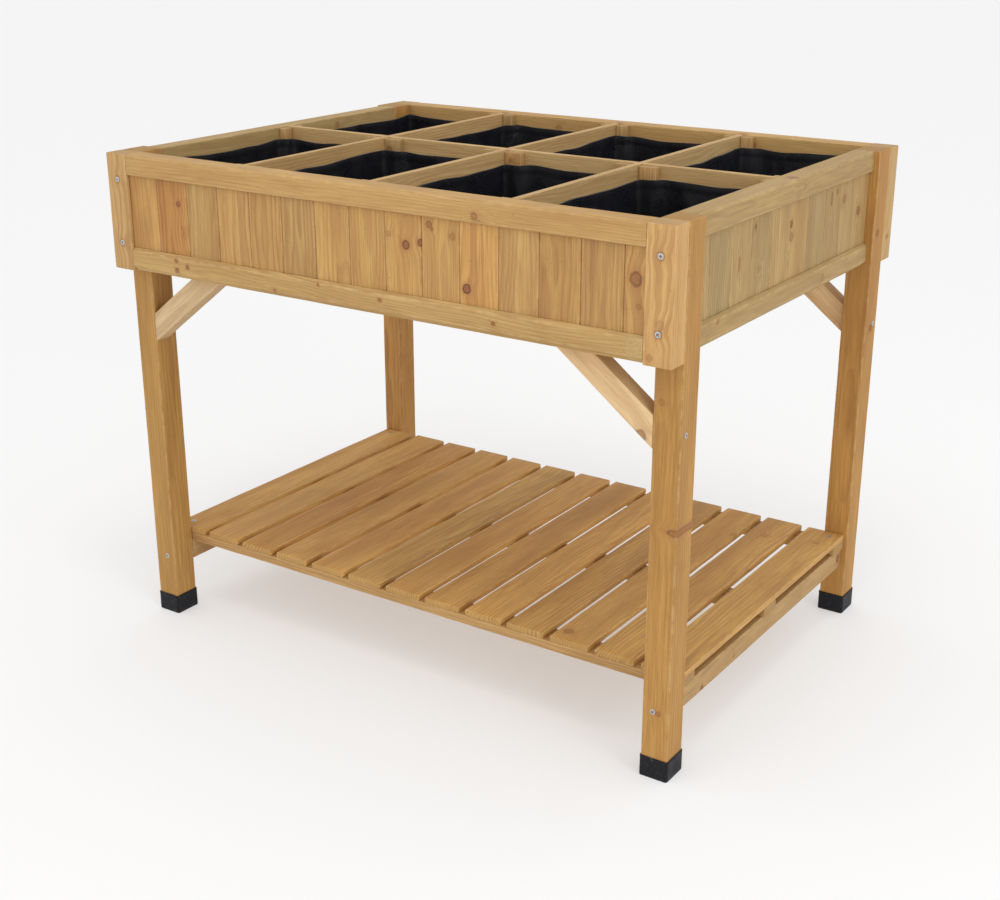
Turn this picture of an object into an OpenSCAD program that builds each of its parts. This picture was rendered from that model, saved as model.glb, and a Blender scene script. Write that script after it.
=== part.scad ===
// Raised timber planter on four legs, with a slatted shelf below and eight lift-out pockets above.
// The origin is the middle of the footprint on the ground: X along the length, Y front to back, Z up.

/* [Overall] */
// Length over the legs
length = 1000; // [800:10:1300]
// Depth over the corner cleats
depth = 760; // [600:10:920]
// Height from the ground to the rim
height = 800; // [660:10:960]

/* [Legs] */
// Width of a leg along the length
leg_w = 42; // [36:1:54]
// Depth of a leg from front to back
leg_d = 45; // [38:1:56]
// Chamfer along the edges of the timber
ease = 1.5; // [0.5:0.5:2.5]
// Height of a foot cap
cap_h = 33; // [20:1:60]
// Wall of a foot cap
cap_wall = 1.6; // [1:0.2:3]
// Floor of a foot cap under the leg
cap_floor = 3; // [2:0.5:6]

/* [Planter box] */
// Height of the planter box
box_h = 183; // [150:1:225]
// Thickness of the corner cleats and of the front and back rails
cleat_t = 35; // [26:1:44]
// Height of a top rail
top_rail_h = 32; // [26:1:42]
// Height of a bottom rail
bottom_rail_h = 37; // [32:1:46]
// How far the side rails stand back from the legs' outer faces
side_inset = 9; // [4:1:12]
// Bevel along the outer lower edge of a bottom rail
drip_bevel = 8; // [2:1:12]
// How far the boards stand back from the rails' outer faces
board_recess = 6; // [4:1:9]

/* [Boards] */
// Width that one tongue-and-groove board covers
board_w = 63.5; // [50:0.5:80]
// Thickness of a board
board_t = 12; // [9:1:14]
// Narrowest board that is ripped to close a panel
narrowest_board = 20; // [15:1:30]
// Depth that the boards enter the rails
rail_groove = 8; // [5:1:12]
// Depth that the end boards enter the corner cleats
cleat_groove = 6; // [3:1:8]
// Length of a tongue
tongue = 4; // [3:0.5:6]

/* [Braces] */
// Width of a brace across its length
brace_w = 37; // [28:1:48]
// Thickness of a brace from front to back
brace_t = 28; // [22:1:34]
// Slope of a brace above the level
brace_angle = 37.5; // [30:0.5:50]
// How far the foot of a brace lies below the box
brace_drop = 124; // [90:1:170]

/* [Shelf] */
// Height of the top of the shelf above the ground
shelf_top = 148; // [110:1:250]
// Width of a shelf slat
slat_w = 65; // [50:1:90]
// Thickness of a shelf slat
slat_t = 10; // [8:1:16]
// Gap wanted between shelf slats
slat_gap = 12; // [6:1:25]
// Width of a bearer under the slats
bearer_w = 42; // [32:1:60]
// Thickness of a bearer under the slats
bearer_t = 15; // [12:1:22]
// Height of the side rails that carry the shelf
shelf_rail_h = 34; // [26:1:42]
// How far the shelf stands back from the legs' outer faces
shelf_inset = 6; // [3:1:10]

/* [Box floor] */
// Side of the square ledgers that carry the box floor
ledger = 20; // [16:1:24]
// Height of the ledgers above the bottom of the box
ledger_up = 13; // [11:1:14]
// Width of a floor slat
floor_slat_w = 70; // [50:1:90]
// Thickness of a floor slat
floor_slat_t = 10; // [8:1:14]
// Gap wanted between floor slats
floor_gap = 13; // [8:1:25]
// Width of the bearer under the middle of the floor
floor_bearer_w = 30; // [24:1:45]

/* [Dividers] */
// Thickness of a divider
divider_t = 10; // [8:1:14]
// Place of the outer cross dividers, as a share of the way from the middle to the side panels
cross_share = 0.522; // [0.48:0.002:0.54]
// Depth of the guide battens and blocks that hold the dividers
guide_d = 12; // [8:1:16]
// Width of a guide batten on a panel
guide_w = 20; // [12:1:26]
// Width of a guide block at a crossing
block_w = 30; // [18:1:36]
// How far the guides stop below the rim
guide_drop = 2; // [1:1:10]

/* [Pockets] */
// How far the pocket rims hang below the rim of the box
rim_drop = 20; // [12:1:40]
// Thickness of the pocket cloth with its lining
pocket_t = 2; // [1:0.5:3]
// Space between a pocket and the timber round it
pocket_gap = 1.5; // [1:0.5:4]

/* [Screws] */
// Diameter of a screw head
head_d = 8.6; // [7:0.1:10]
// Thickness of a screw head
head_h = 2.2; // [1.6:0.1:3]
// Diameter of a screw shank
shank_d = 4; // [3:0.5:5]

/* [Hidden] */

$fn = 24;
tiny = 0.01;

// Named clearances
board_clear = 0.3;   // round a board or its tongue in a groove
cap_clear = 0.1;     // between a leg and its foot cap
slide_clear = 0.4;   // beside and past the ends of a divider
rest_clear = 0.3;    // under a divider or a pocket at rest
end_clear = 1;       // past the ends of the slats
bore_clear = 0.1;    // round a screw

// Where the frame's faces lie
half_l = length / 2;
half_d = depth / 2;
leg_out_y = half_d - cleat_t;         // outer face of the legs, which carries the cleats
leg_in_x = half_l - leg_w;            // inner face of the legs and of the side panels
leg_in_y = leg_out_y - leg_d;         // face of the legs that the side rails meet
leg_mid_x = half_l - leg_w / 2;
box_z = height - box_h;

// Panels
side_rail_t = leg_w - side_inset;
groove_lip = board_recess - board_clear;
lip_bevel = min(drip_bevel, groove_lip - 1);
board_z = box_z + bottom_rail_h - rail_groove + board_clear;
board_l = box_h - top_rail_h - bottom_rail_h + 2 * (rail_groove - board_clear);
long_span = 2 * (leg_in_x + cleat_groove - board_clear);
side_span = 2 * (leg_in_y - board_clear);
long_full = floor((long_span - narrowest_board) / board_w);
side_full = 2 * floor((side_span - 2 * narrowest_board) / (2 * board_w));
side_first = (side_span - side_full * board_w) / 2;

// Box floor
ledger_z = box_z + ledger_up;
floor_z = ledger_z + ledger;
floor_top = floor_z + floor_slat_t;
floor_len = 2 * (leg_out_y - end_clear);
floor_span = 2 * (leg_in_x - end_clear);
floor_count = round((floor_span + floor_gap) / (floor_slat_w + floor_gap));
floor_pitch = (floor_span - floor_slat_w) / (floor_count - 1);

// Dividers and pockets
divider_z = floor_top + rest_clear;
divider_h = height - divider_z;
cross_pitch = cross_share * leg_in_x;
cross_x = [-cross_pitch, 0, cross_pitch];
guide_h = divider_h - guide_drop;
guide_off = divider_t / 2 + slide_clear;
rim_z = height - rim_drop;

// Braces
brace_foot = box_z - brace_drop;
brace_cut = brace_w / cos(brace_angle);
brace_slope = tan(brace_angle);

// Shelf
shelf_half = half_l - shelf_inset;
slat_count = round((2 * shelf_half + slat_gap) / (slat_w + slat_gap));
slat_pitch = (2 * shelf_half - slat_w) / (slat_count - 1);
slat_len = 2 * (leg_in_y - end_clear);
slat_z = shelf_top - slat_t;
bearer_z = slat_z - bearer_t;
shelf_rail_z = bearer_z - shelf_rail_h;
bearer_out = slat_len / 2 - bearer_w / 2;
rail_mid_x = half_l - side_inset - side_rail_t / 2;

// Screws: each place is the middle of the head, the turn that points the screw, and its length
TO_BACK = [-90, 0, 0];
TO_FRONT = [90, 0, 0];
TO_RIGHT = [0, 90, 0];
TO_LEFT = [0, -90, 0];
DOWN = [180, 0, 0];
UP = [0, 0, 0];
cleat_screw_l = cleat_t + 25;
leg_screw_l = leg_d + 35;
brace_screw_l = leg_w + 22;
brace_rail_screw_l = brace_t + 20;
corner_screw_l = slat_t + bearer_t + shelf_rail_h / 2 - shank_d - 3;
slat_screw_l = bearer_t + slat_t - 3;
floor_screw_l = floor_slat_t + 15;
ledger_screw_l = ledger + 18;
cleat_screw_up = [box_h * 0.235, box_h * 0.78];
brace_rail_up = ledger_up / 2;
brace_rail_x = leg_in_x - (brace_drop + brace_rail_up - brace_cut / 2) / brace_slope;

cleat_places = [for (sx = [-1, 1], sy = [-1, 1], up = cleat_screw_up)
    [[sx * leg_mid_x, sy * half_d, box_z + up], sy < 0 ? TO_BACK : TO_FRONT, cleat_screw_l]];
leg_screw_z = [shelf_rail_z + shelf_rail_h / 2, box_z + bottom_rail_h / 2, height - top_rail_h / 2];
leg_places = [for (sx = [-1, 1], sy = [-1, 1], z = leg_screw_z)
    [[sx * rail_mid_x, sy * leg_out_y, z], sy < 0 ? TO_BACK : TO_FRONT, leg_screw_l]];
brace_leg_places = [for (sx = [-1, 1], sy = [-1, 1])
    [[sx * half_l, sy * (leg_out_y - brace_t / 2), brace_foot + brace_cut / 2],
     sx < 0 ? TO_RIGHT : TO_LEFT, brace_screw_l]];
brace_rail_places = [for (sx = [-1, 1], sy = [-1, 1])
    [[sx * brace_rail_x, sy * (leg_out_y - brace_t), box_z + brace_rail_up],
     sy < 0 ? TO_FRONT : TO_BACK, brace_rail_screw_l]];
shelf_corner_places = [for (sx = [-1, 1], sy = [-1, 1])
    [[sx * rail_mid_x, sy * bearer_out, shelf_top], DOWN, corner_screw_l]];
shelf_slat_places = [for (i = [1 : slat_count - 2], y = [-bearer_out, 0, bearer_out])
    [[slat_x(i) + slat_w / 2, y, bearer_z], UP, slat_screw_l]];
floor_slat_places = [for (i = [0 : floor_count - 1], y = [-1, 0, 1])
    [[floor_x(i) + floor_slat_w / 2, y * (leg_out_y - ledger / 2), floor_top], DOWN, floor_screw_l]];
ledger_places = [for (fx = [-0.8, -0.25, 0.25, 0.8], sy = [-1, 1])
    [[fx * leg_in_x, sy * (leg_out_y - ledger), ledger_z + ledger / 2],
     sy < 0 ? TO_FRONT : TO_BACK, ledger_screw_l]];

function slat_x(i) = -shelf_half + i * slat_pitch;
function floor_x(i) = -floor_span / 2 + i * floor_pitch;
function corner(places, sx, sy) =
    [for (p = places) if (sign(p[0][0]) == sx && sign(p[0][1]) == sy) p];
function on_side(places, sx) = [for (p = places) if (sign(p[0][0]) == sx) p];
function on_face(places, sy) = [for (p = places) if (sign(p[0][1]) == sy) p];
function at_height(places, z) = [for (p = places) if (abs(p[0][2] - z) < tiny) p];

// Rectangle with its four corners chamfered
function eased_rect(a, b, e = ease) =
    [[e, 0], [a - e, 0], [a, e], [a, b - e], [a - e, b], [e, b], [0, b - e], [0, e]];

// Section of a rail of thickness t and height h, outer face at 0, with the board groove in its top
function grooved_rail(t, h, low, lip) = let (
        near = groove_lip, far = board_recess + board_t + board_clear, deep = h - rail_groove)
    [[low, 0], [t - ease, 0], [t, ease], [t, h - ease], [t - ease, h], [far, h], [far, deep],
     [near, deep], [near, h], [lip, h], [0, h - lip], [0, low]];
function upside_down(points, h) = [for (p = points) [p[0], h - p[1]]];

module pine() { color([0.80, 0.64, 0.40]) children(); }
module shelf_pine() { color([0.70, 0.52, 0.31]) children(); }

// A prism that runs along X from x = 0, whose section lies in Y and Z
module along_x(len) { rotate([90, 0, 90]) linear_extrude(len) children(); }
// A prism that runs along Y, centred on y = 0, whose section lies in X and Z
module along_y(len) { translate([0, len / 2, 0]) rotate([90, 0, 0]) linear_extrude(len) children(); }

// Screw with a flat head and a cross recess, head's face at z = 0, pointing along +Z
module screw(len) {
    difference() {
        union() {
            cylinder(h = head_h, d = head_d);
            cylinder(h = len, d = shank_d);
        }
        for (a = [0, 90])
            rotate([0, 0, a]) translate([-head_d / 4, -0.5, -tiny]) cube([head_d / 2, 1, head_h * 0.6]);
    }
}
module bore(len) {
    translate([0, 0, -1]) cylinder(h = head_h + 1, d = head_d + 2 * bore_clear);
    cylinder(h = len + bore_clear, d = shank_d + 2 * bore_clear);
}
module screws(places) {
    color([0.72, 0.73, 0.74])
        for (p = places) translate(p[0]) rotate(p[1]) screw(p[2]);
}
module bores(places) { for (p = places) translate(p[0]) rotate(p[1]) bore(p[2]); }

module leg(sx, sy) {
    pine() difference() {
        translate([sx < 0 ? -half_l : leg_in_x, sy < 0 ? -leg_out_y : leg_in_y, cap_floor])
            linear_extrude(height - cap_floor) polygon(eased_rect(leg_w, leg_d));
        bores(corner(cleat_places, sx, sy));
        bores(corner(leg_places, sx, sy));
        bores(corner(brace_leg_places, sx, sy));
    }
}

module foot_cap(sx, sy) {
    room = cap_clear;
    wall = cap_clear + cap_wall;
    color([0.11, 0.12, 0.16])
        translate([sx < 0 ? -half_l : leg_in_x, sy < 0 ? -leg_out_y : leg_in_y, 0]) difference() {
            translate([-wall, -wall, 0])
                linear_extrude(cap_h) polygon(eased_rect(leg_w + 2 * wall, leg_d + 2 * wall));
            translate([-room, -room, cap_floor]) cube([leg_w + 2 * room, leg_d + 2 * room, cap_h]);
        }
}

// The left cleat of the front panel, with a stopped groove for the edge of the first board
module left_cleat() {
    deep = leg_w - cleat_groove;
    far = board_recess + board_t + board_clear;
    translate([-half_l, -half_d, 0]) difference() {
        translate([0, 0, box_z]) linear_extrude(box_h) polygon(eased_rect(leg_w, cleat_t));
        translate([deep, groove_lip, board_z - board_clear])
            cube([cleat_groove + 1, far - groove_lip, board_l + 2 * board_clear]);
    }
}
module cleat(sx, sy) {
    pine() difference() {
        mirror([sx > 0 ? 1 : 0, 0, 0]) mirror([0, sy > 0 ? 1 : 0, 0]) left_cleat();
        bores(corner(cleat_places, sx, sy));
    }
}

module long_top_rail(sy) {
    pine() mirror([0, sy > 0 ? 1 : 0, 0])
        translate([-leg_in_x, -half_d, height - top_rail_h]) along_x(2 * leg_in_x)
            polygon(upside_down(grooved_rail(cleat_t, top_rail_h, ease, ease), top_rail_h));
}
module long_bottom_rail(sy) {
    pine() difference() {
        mirror([0, sy > 0 ? 1 : 0, 0])
            translate([-leg_in_x, -half_d, box_z]) along_x(2 * leg_in_x)
                polygon(grooved_rail(cleat_t, bottom_rail_h, drip_bevel, lip_bevel));
        bores(on_face(brace_rail_places, sy));
        bores(on_face(ledger_places, sy));
    }
}
module side_top_rail(sx) {
    z = height - top_rail_h;
    pine() difference() {
        mirror([sx > 0 ? 1 : 0, 0, 0]) translate([-half_l + side_inset, 0, z]) along_y(2 * leg_in_y)
            polygon(upside_down(grooved_rail(side_rail_t, top_rail_h, ease, ease), top_rail_h));
        bores(on_side(at_height(leg_places, leg_screw_z[2]), sx));
    }
}
module side_bottom_rail(sx) {
    pine() difference() {
        mirror([sx > 0 ? 1 : 0, 0, 0]) translate([-half_l + side_inset, 0, box_z]) along_y(2 * leg_in_y)
            polygon(grooved_rail(side_rail_t, bottom_rail_h, drip_bevel, lip_bevel));
        bores(on_side(at_height(leg_places, leg_screw_z[1]), sx));
    }
}

// One board of width w, with a groove in its left edge and a tongue on its right edge
module board(w, has_groove, has_tongue) {
    v = 1.2;
    low = board_t / 3;
    high = 2 * board_t / 3;
    r = w - board_clear;
    right_edge = has_tongue
        ? [[r, low], [r + tongue, low], [r + tongue, high], [r, high]] : [];
    left_edge = has_groove
        ? [[0, high + board_clear], [tongue + board_clear, high + board_clear],
           [tongue + board_clear, low - board_clear], [0, low - board_clear]] : [];
    linear_extrude(board_l) polygon(concat(
        [[v, 0], [r - v, 0], [r, v]], right_edge, [[r, board_t - v], [r - v, board_t], [v, board_t],
         [0, board_t - v]], left_edge, [[0, v]]));
}
// A row of boards along X from x = 0 whose first board has width first
module board_row(span, first, full) {
    edges = concat([0], [for (i = [0 : full - 1]) first + i * board_w], [first + full * board_w]);
    starts = first == 0 ? [for (i = [1 : len(edges) - 1]) edges[i]] : edges;
    for (i = [0 : len(starts) - 1]) {
        last = i == len(starts) - 1;
        translate([starts[i], 0, 0])
            board((last ? span + board_clear : starts[i + 1]) - starts[i], i > 0, !last);
    }
}
module long_boards(sy) {
    pine() mirror([0, sy > 0 ? 1 : 0, 0])
        translate([-long_span / 2, -half_d + board_recess, board_z]) board_row(long_span, 0, long_full);
}
module side_boards(sx) {
    pine() mirror([sx > 0 ? 1 : 0, 0, 0])
        translate([-half_l + side_inset + board_recess, side_span / 2, board_z]) rotate([0, 0, -90])
            board_row(side_span, side_first, side_full);
}

module left_brace_outline() {
    top = ledger_z;
    polygon([[-leg_in_x, brace_foot],
             [-leg_in_x + (top - brace_foot) / brace_slope, top],
             [-leg_in_x + (top - brace_foot - brace_cut) / brace_slope, top],
             [-leg_in_x, brace_foot + brace_cut]]);
}
module brace(sx, sy) {
    pine() difference() {
        mirror([sx > 0 ? 1 : 0, 0, 0]) mirror([0, sy > 0 ? 1 : 0, 0])
            translate([0, -leg_out_y + brace_t / 2, 0]) along_y(brace_t) left_brace_outline();
        bores(corner(brace_leg_places, sx, sy));
        bores(corner(brace_rail_places, sx, sy));
    }
}

module shelf_rail(sx) {
    shelf_pine() difference() {
        mirror([sx > 0 ? 1 : 0, 0, 0])
            translate([-half_l + side_inset, 0, shelf_rail_z]) along_y(2 * leg_in_y)
                polygon(eased_rect(side_rail_t, shelf_rail_h));
        bores(on_side(at_height(leg_places, leg_screw_z[0]), sx));
        bores(on_side(shelf_corner_places, sx));
    }
}
module shelf_bearer(y) {
    shelf_pine() difference() {
        translate([-shelf_half, y - bearer_w / 2, bearer_z]) along_x(2 * shelf_half)
            polygon(eased_rect(bearer_w, bearer_t));
        bores([for (p = shelf_slat_places) if (abs(p[0][1] - y) < tiny) p]);
        bores([for (p = shelf_corner_places) if (abs(p[0][1] - y) < tiny) p]);
    }
}
module shelf_slats() {
    shelf_pine() for (i = [0 : slat_count - 1]) {
        end_slat = i == 0 || i == slat_count - 1;
        difference() {
            translate([slat_x(i), 0, slat_z]) along_y(slat_len) polygon(eased_rect(slat_w, slat_t));
            if (end_slat)
                bores(on_side(shelf_corner_places, i == 0 ? -1 : 1));
            else
                bores([for (k = [0 : 2]) shelf_slat_places[(i - 1) * 3 + k]]);
        }
    }
}

module floor_ledger(sy) {
    pine() difference() {
        mirror([0, sy > 0 ? 1 : 0, 0])
            translate([-leg_in_x, -leg_out_y, ledger_z]) along_x(2 * leg_in_x)
                polygon(eased_rect(ledger, ledger));
        bores(on_face(ledger_places, sy));
        bores(on_face(floor_slat_places, sy));
    }
}
module floor_bearer() {
    pine() difference() {
        translate([-leg_in_x, -floor_bearer_w / 2, box_z]) along_x(2 * leg_in_x)
            polygon(eased_rect(floor_bearer_w, floor_z - box_z));
        bores(on_face(floor_slat_places, 0));
    }
}
module floor_slats() {
    pine() for (i = [0 : floor_count - 1])
        difference() {
            translate([floor_x(i), 0, floor_z]) along_y(floor_len)
                polygon(eased_rect(floor_slat_w, floor_slat_t));
            bores([for (k = [0 : 2]) floor_slat_places[i * 3 + k]]);
        }
}

// Battens on the four panels, one on each side of a divider's end
module panel_guides() {
    pine() for (s = [-1, 1], side = [-1, 1]) {
        for (x = cross_x)
            translate([x + (side < 0 ? -guide_off - guide_w : guide_off),
                       s < 0 ? -leg_out_y : leg_out_y - guide_d, floor_top])
                cube([guide_w, guide_d, guide_h]);
        translate([s < 0 ? -leg_in_x : leg_in_x - guide_d,
                   side < 0 ? -guide_off - guide_w : guide_off, floor_top])
            cube([guide_d, guide_w, guide_h]);
    }
}

module long_divider() {
    slot = divider_t + 2 * slide_clear;
    pine() difference() {
        translate([-leg_in_x + slide_clear, -divider_t / 2, divider_z])
            cube([2 * (leg_in_x - slide_clear), divider_t, divider_h]);
        for (x = cross_x)
            translate([x - slot / 2, -divider_t, divider_z + divider_h / 2])
                cube([slot, 2 * divider_t, divider_h]);
    }
}
// Blocks on both faces of the long divider, one on each side of a crossing
module crossing_blocks() {
    pine() for (x = cross_x, side = [-1, 1], s = [-1, 1])
        translate([x + (side < 0 ? -guide_off - block_w : guide_off),
                   s < 0 ? -divider_t / 2 - guide_d : divider_t / 2, divider_z])
            cube([block_w, guide_d, guide_h]);
}
module cross_divider(i) {
    slot = divider_t + 2 * slide_clear;
    pine() difference() {
        translate([cross_x[i] - divider_t / 2, -leg_out_y + slide_clear, divider_z])
            cube([divider_t, 2 * (leg_out_y - slide_clear), divider_h]);
        translate([cross_x[i] - divider_t, -slot / 2, divider_z - 1])
            cube([2 * divider_t, slot, divider_h / 2 + 1 + rest_clear]);
    }
}

// One corner of a pocket's outline, cut out by n[0] along X and n[1] along Y; s is the corner's side
function pocket_corner(p, n, s) = n[0] == 0 ? [p]
    : s[0] * s[1] > 0 ? [[p[0], p[1] - s[1] * n[1]], p - [s[0] * n[0], s[1] * n[1]],
                         [p[0] - s[0] * n[0], p[1]]]
    : [[p[0] - s[0] * n[0], p[1]], p - [s[0] * n[0], s[1] * n[1]], [p[0], p[1] - s[1] * n[1]]];
// Outline of a front pocket in column i, standing off the timber by g
function pocket_outline(i, g) = let (
        x0 = (i == 0 ? -leg_in_x : cross_x[i - 1] + divider_t / 2) + g,
        x1 = (i == 3 ? leg_in_x : cross_x[i] - divider_t / 2) - g,
        y0 = -leg_out_y + g,
        y1 = -divider_t / 2 - g,
        batten = [slide_clear + guide_w, guide_d],
        block = [slide_clear + block_w, guide_d],
        side_batten = [guide_d, slide_clear + guide_w])
    concat(pocket_corner([x0, y0], i == 0 ? [0, 0] : batten, [-1, -1]),
           pocket_corner([x1, y0], i == 3 ? [0, 0] : batten, [1, -1]),
           pocket_corner([x1, y1], i == 3 ? side_batten : block, [1, 1]),
           pocket_corner([x0, y1], i == 0 ? side_batten : block, [-1, 1]));
module pocket(i, sy) {
    color([0.08, 0.08, 0.10]) mirror([0, sy > 0 ? 1 : 0, 0]) difference() {
        translate([0, 0, divider_z]) linear_extrude(rim_z - divider_z)
            polygon(pocket_outline(i, pocket_gap));
        translate([0, 0, divider_z + pocket_t]) linear_extrude(rim_z)
            polygon(pocket_outline(i, pocket_gap + pocket_t));
    }
}

leg(-1, -1);  // leg_front_left
leg(1, -1);  // leg_front_right
leg(-1, 1);  // leg_back_left
leg(1, 1);  // leg_back_right
foot_cap(-1, -1);  // foot_cap_front_left
foot_cap(1, -1);  // foot_cap_front_right
foot_cap(-1, 1);  // foot_cap_back_left
foot_cap(1, 1);  // foot_cap_back_right
cleat(-1, -1);  // front_cleat_left
cleat(1, -1);  // front_cleat_right
long_top_rail(-1);  // front_top_rail
long_bottom_rail(-1);  // front_bottom_rail
long_boards(-1);  // front_boards
cleat(-1, 1);  // back_cleat_left
cleat(1, 1);  // back_cleat_right
long_top_rail(1);  // back_top_rail
long_bottom_rail(1);  // back_bottom_rail
long_boards(1);  // back_boards
side_top_rail(-1);  // left_top_rail
side_bottom_rail(-1);  // left_bottom_rail
side_boards(-1);  // left_boards
side_top_rail(1);  // right_top_rail
side_bottom_rail(1);  // right_bottom_rail
side_boards(1);  // right_boards
brace(-1, -1);  // brace_front_left
brace(1, -1);  // brace_front_right
brace(-1, 1);  // brace_back_left
brace(1, 1);  // brace_back_right
shelf_rail(-1);  // shelf_rail_left
shelf_rail(1);  // shelf_rail_right
shelf_bearer(-bearer_out);  // shelf_bearer_front
shelf_bearer(0);  // shelf_bearer_middle
shelf_bearer(bearer_out);  // shelf_bearer_back
shelf_slats();
floor_ledger(-1);  // floor_ledger_front
floor_ledger(1);  // floor_ledger_back
floor_bearer();
floor_slats();
panel_guides();
long_divider();
crossing_blocks();
cross_divider(0);  // cross_divider_1
cross_divider(1);  // cross_divider_2
cross_divider(2);  // cross_divider_3
pocket(0, -1);  // pocket_front_1
pocket(1, -1);  // pocket_front_2
pocket(2, -1);  // pocket_front_3
pocket(3, -1);  // pocket_front_4
pocket(0, 1);  // pocket_back_1
pocket(1, 1);  // pocket_back_2
pocket(2, 1);  // pocket_back_3
pocket(3, 1);  // pocket_back_4
screws(cleat_places);  // cleat_screws
screws(leg_places);  // leg_screws
screws(concat(brace_leg_places, brace_rail_places));  // brace_screws
screws(shelf_corner_places);  // shelf_corner_screws
screws(shelf_slat_places);  // shelf_slat_screws
screws(concat(floor_slat_places, ledger_places));  // floor_screws
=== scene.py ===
import math

import bpy
import numpy as np
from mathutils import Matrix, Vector


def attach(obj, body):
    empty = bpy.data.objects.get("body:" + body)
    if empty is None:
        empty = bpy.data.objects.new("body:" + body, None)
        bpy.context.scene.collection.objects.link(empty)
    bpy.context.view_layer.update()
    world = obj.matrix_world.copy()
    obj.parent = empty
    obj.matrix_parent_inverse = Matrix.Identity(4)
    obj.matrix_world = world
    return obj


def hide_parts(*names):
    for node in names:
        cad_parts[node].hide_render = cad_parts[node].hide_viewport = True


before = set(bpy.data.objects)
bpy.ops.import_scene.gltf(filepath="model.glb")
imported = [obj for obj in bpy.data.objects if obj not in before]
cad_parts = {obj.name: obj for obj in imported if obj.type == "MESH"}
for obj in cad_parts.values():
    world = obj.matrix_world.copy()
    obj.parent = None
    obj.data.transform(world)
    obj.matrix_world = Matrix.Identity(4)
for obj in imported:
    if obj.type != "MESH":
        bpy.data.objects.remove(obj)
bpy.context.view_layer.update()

# ---------------------------------------------------------------------------------------------
# The four legs
# Square softwood, planed and washed with a honey coloured preservative, running from the ground
# to the rim. Every other piece of timber is screwed to them.
# ---------------------------------------------------------------------------------------------


def rounded(corners, radius=1.8, flat=3.0):
    """Outline of a section in mm, with each corner turned into a small arc.

    A corner becomes a five-point curve from radius mm before it to radius mm after it, with one more
    point flat mm further along each side so that the sides stay flat. Returns the points and their wear,
    which is 1 on the arc and 0 on the flats. The wood paints this as paler edges, partly rubbed wear and
    partly painted highlight on the eased edges.
    """
    corners = np.array(corners, float)
    points, wear = [], []
    bend = np.linspace(0, 1, 5)[:, None]
    for before, corner, after in zip(np.roll(corners, 1, 0), corners, np.roll(corners, -1, 0)):
        back, on = before - corner, after - corner
        back_l, on_l = np.linalg.norm(back), np.linalg.norm(on)
        back, on = back / back_l, on / on_l
        r = min(radius, 0.3 * back_l, 0.3 * on_l)
        start, end = corner + back * r, corner + on * r
        arc = (1 - bend) ** 2 * start + 2 * bend * (1 - bend) * corner + bend**2 * end
        first = corner + back * (r + min(flat, 0.15 * back_l))
        last = corner + on * (r + min(flat, 0.15 * on_l))
        points += [first, *arc, last]
        wear += [0, 0.4, 1, 1, 1, 0.4, 0]
    return np.array(points), np.array(wear)


def outward(points):
    """Unit normals of a closed outline, pointing out of it.

    Each normal is square to the line between the point's two neighbours.
    """
    along = np.roll(points, -1, 0) - np.roll(points, 1, 0)
    normal = np.stack([along[:, 1], -along[:, 0]], 1)
    turn = np.roll(points, -1, 0) - points
    area = (points[:, 0] * turn[:, 1] - points[:, 1] * turn[:, 0]).sum()
    return normal / np.linalg.norm(normal, axis=1, keepdims=True) * np.sign(area)


def new_piece(name, points, faces, material, body, nodes, slot, **attributes):
    """A mesh piece from points in mm, with per-point attributes, that rides on a body and replaces nodes."""
    mesh = bpy.data.meshes.new(name)
    mesh.from_pydata((np.asarray(points) * 0.001).tolist(), [], faces)
    for key, values in attributes.items():
        kind = "FLOAT_VECTOR" if values.ndim == 2 else "FLOAT"
        layer = mesh.attributes.new(key, kind, "POINT")
        layer.data.foreach_set("vector" if values.ndim == 2 else "value", values.astype(np.float32).ravel())
    mesh.polygons.foreach_set("use_smooth", np.ones(len(mesh.polygons), bool))
    mesh.set_sharp_from_angle(angle=math.radians(42))
    mesh.materials.append(material)
    piece = bpy.data.objects.new(name, mesh)
    bpy.context.scene.collection.objects.link(piece)
    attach(piece, body)
    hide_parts(*nodes)
    return piece


def tube_faces(rings, around):
    """Quads of a tube of rings with around points each, and one polygon over each end."""
    ring = np.arange(rings - 1)[:, None] * around
    here = np.arange(around)[None, :]
    nxt = (here + 1) % around
    quads = np.stack([ring + here, ring + nxt, ring + around + nxt, ring + around + here], -1)
    faces = quads.reshape(-1, 4).tolist()
    faces.append(list(range(around))[::-1])
    faces.append([(rings - 1) * around + k for k in range(around)])
    return faces


AXES = {
    "x": np.array([[0, 1, 0], [0, 0, 1], [1, 0, 0]], float),
    "y": np.array([[0, 0, 1], [1, 0, 0], [0, 1, 0]], float),
    "z": np.array([[1, 0, 0], [0, 1, 0], [0, 0, 1]], float),
}


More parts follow.
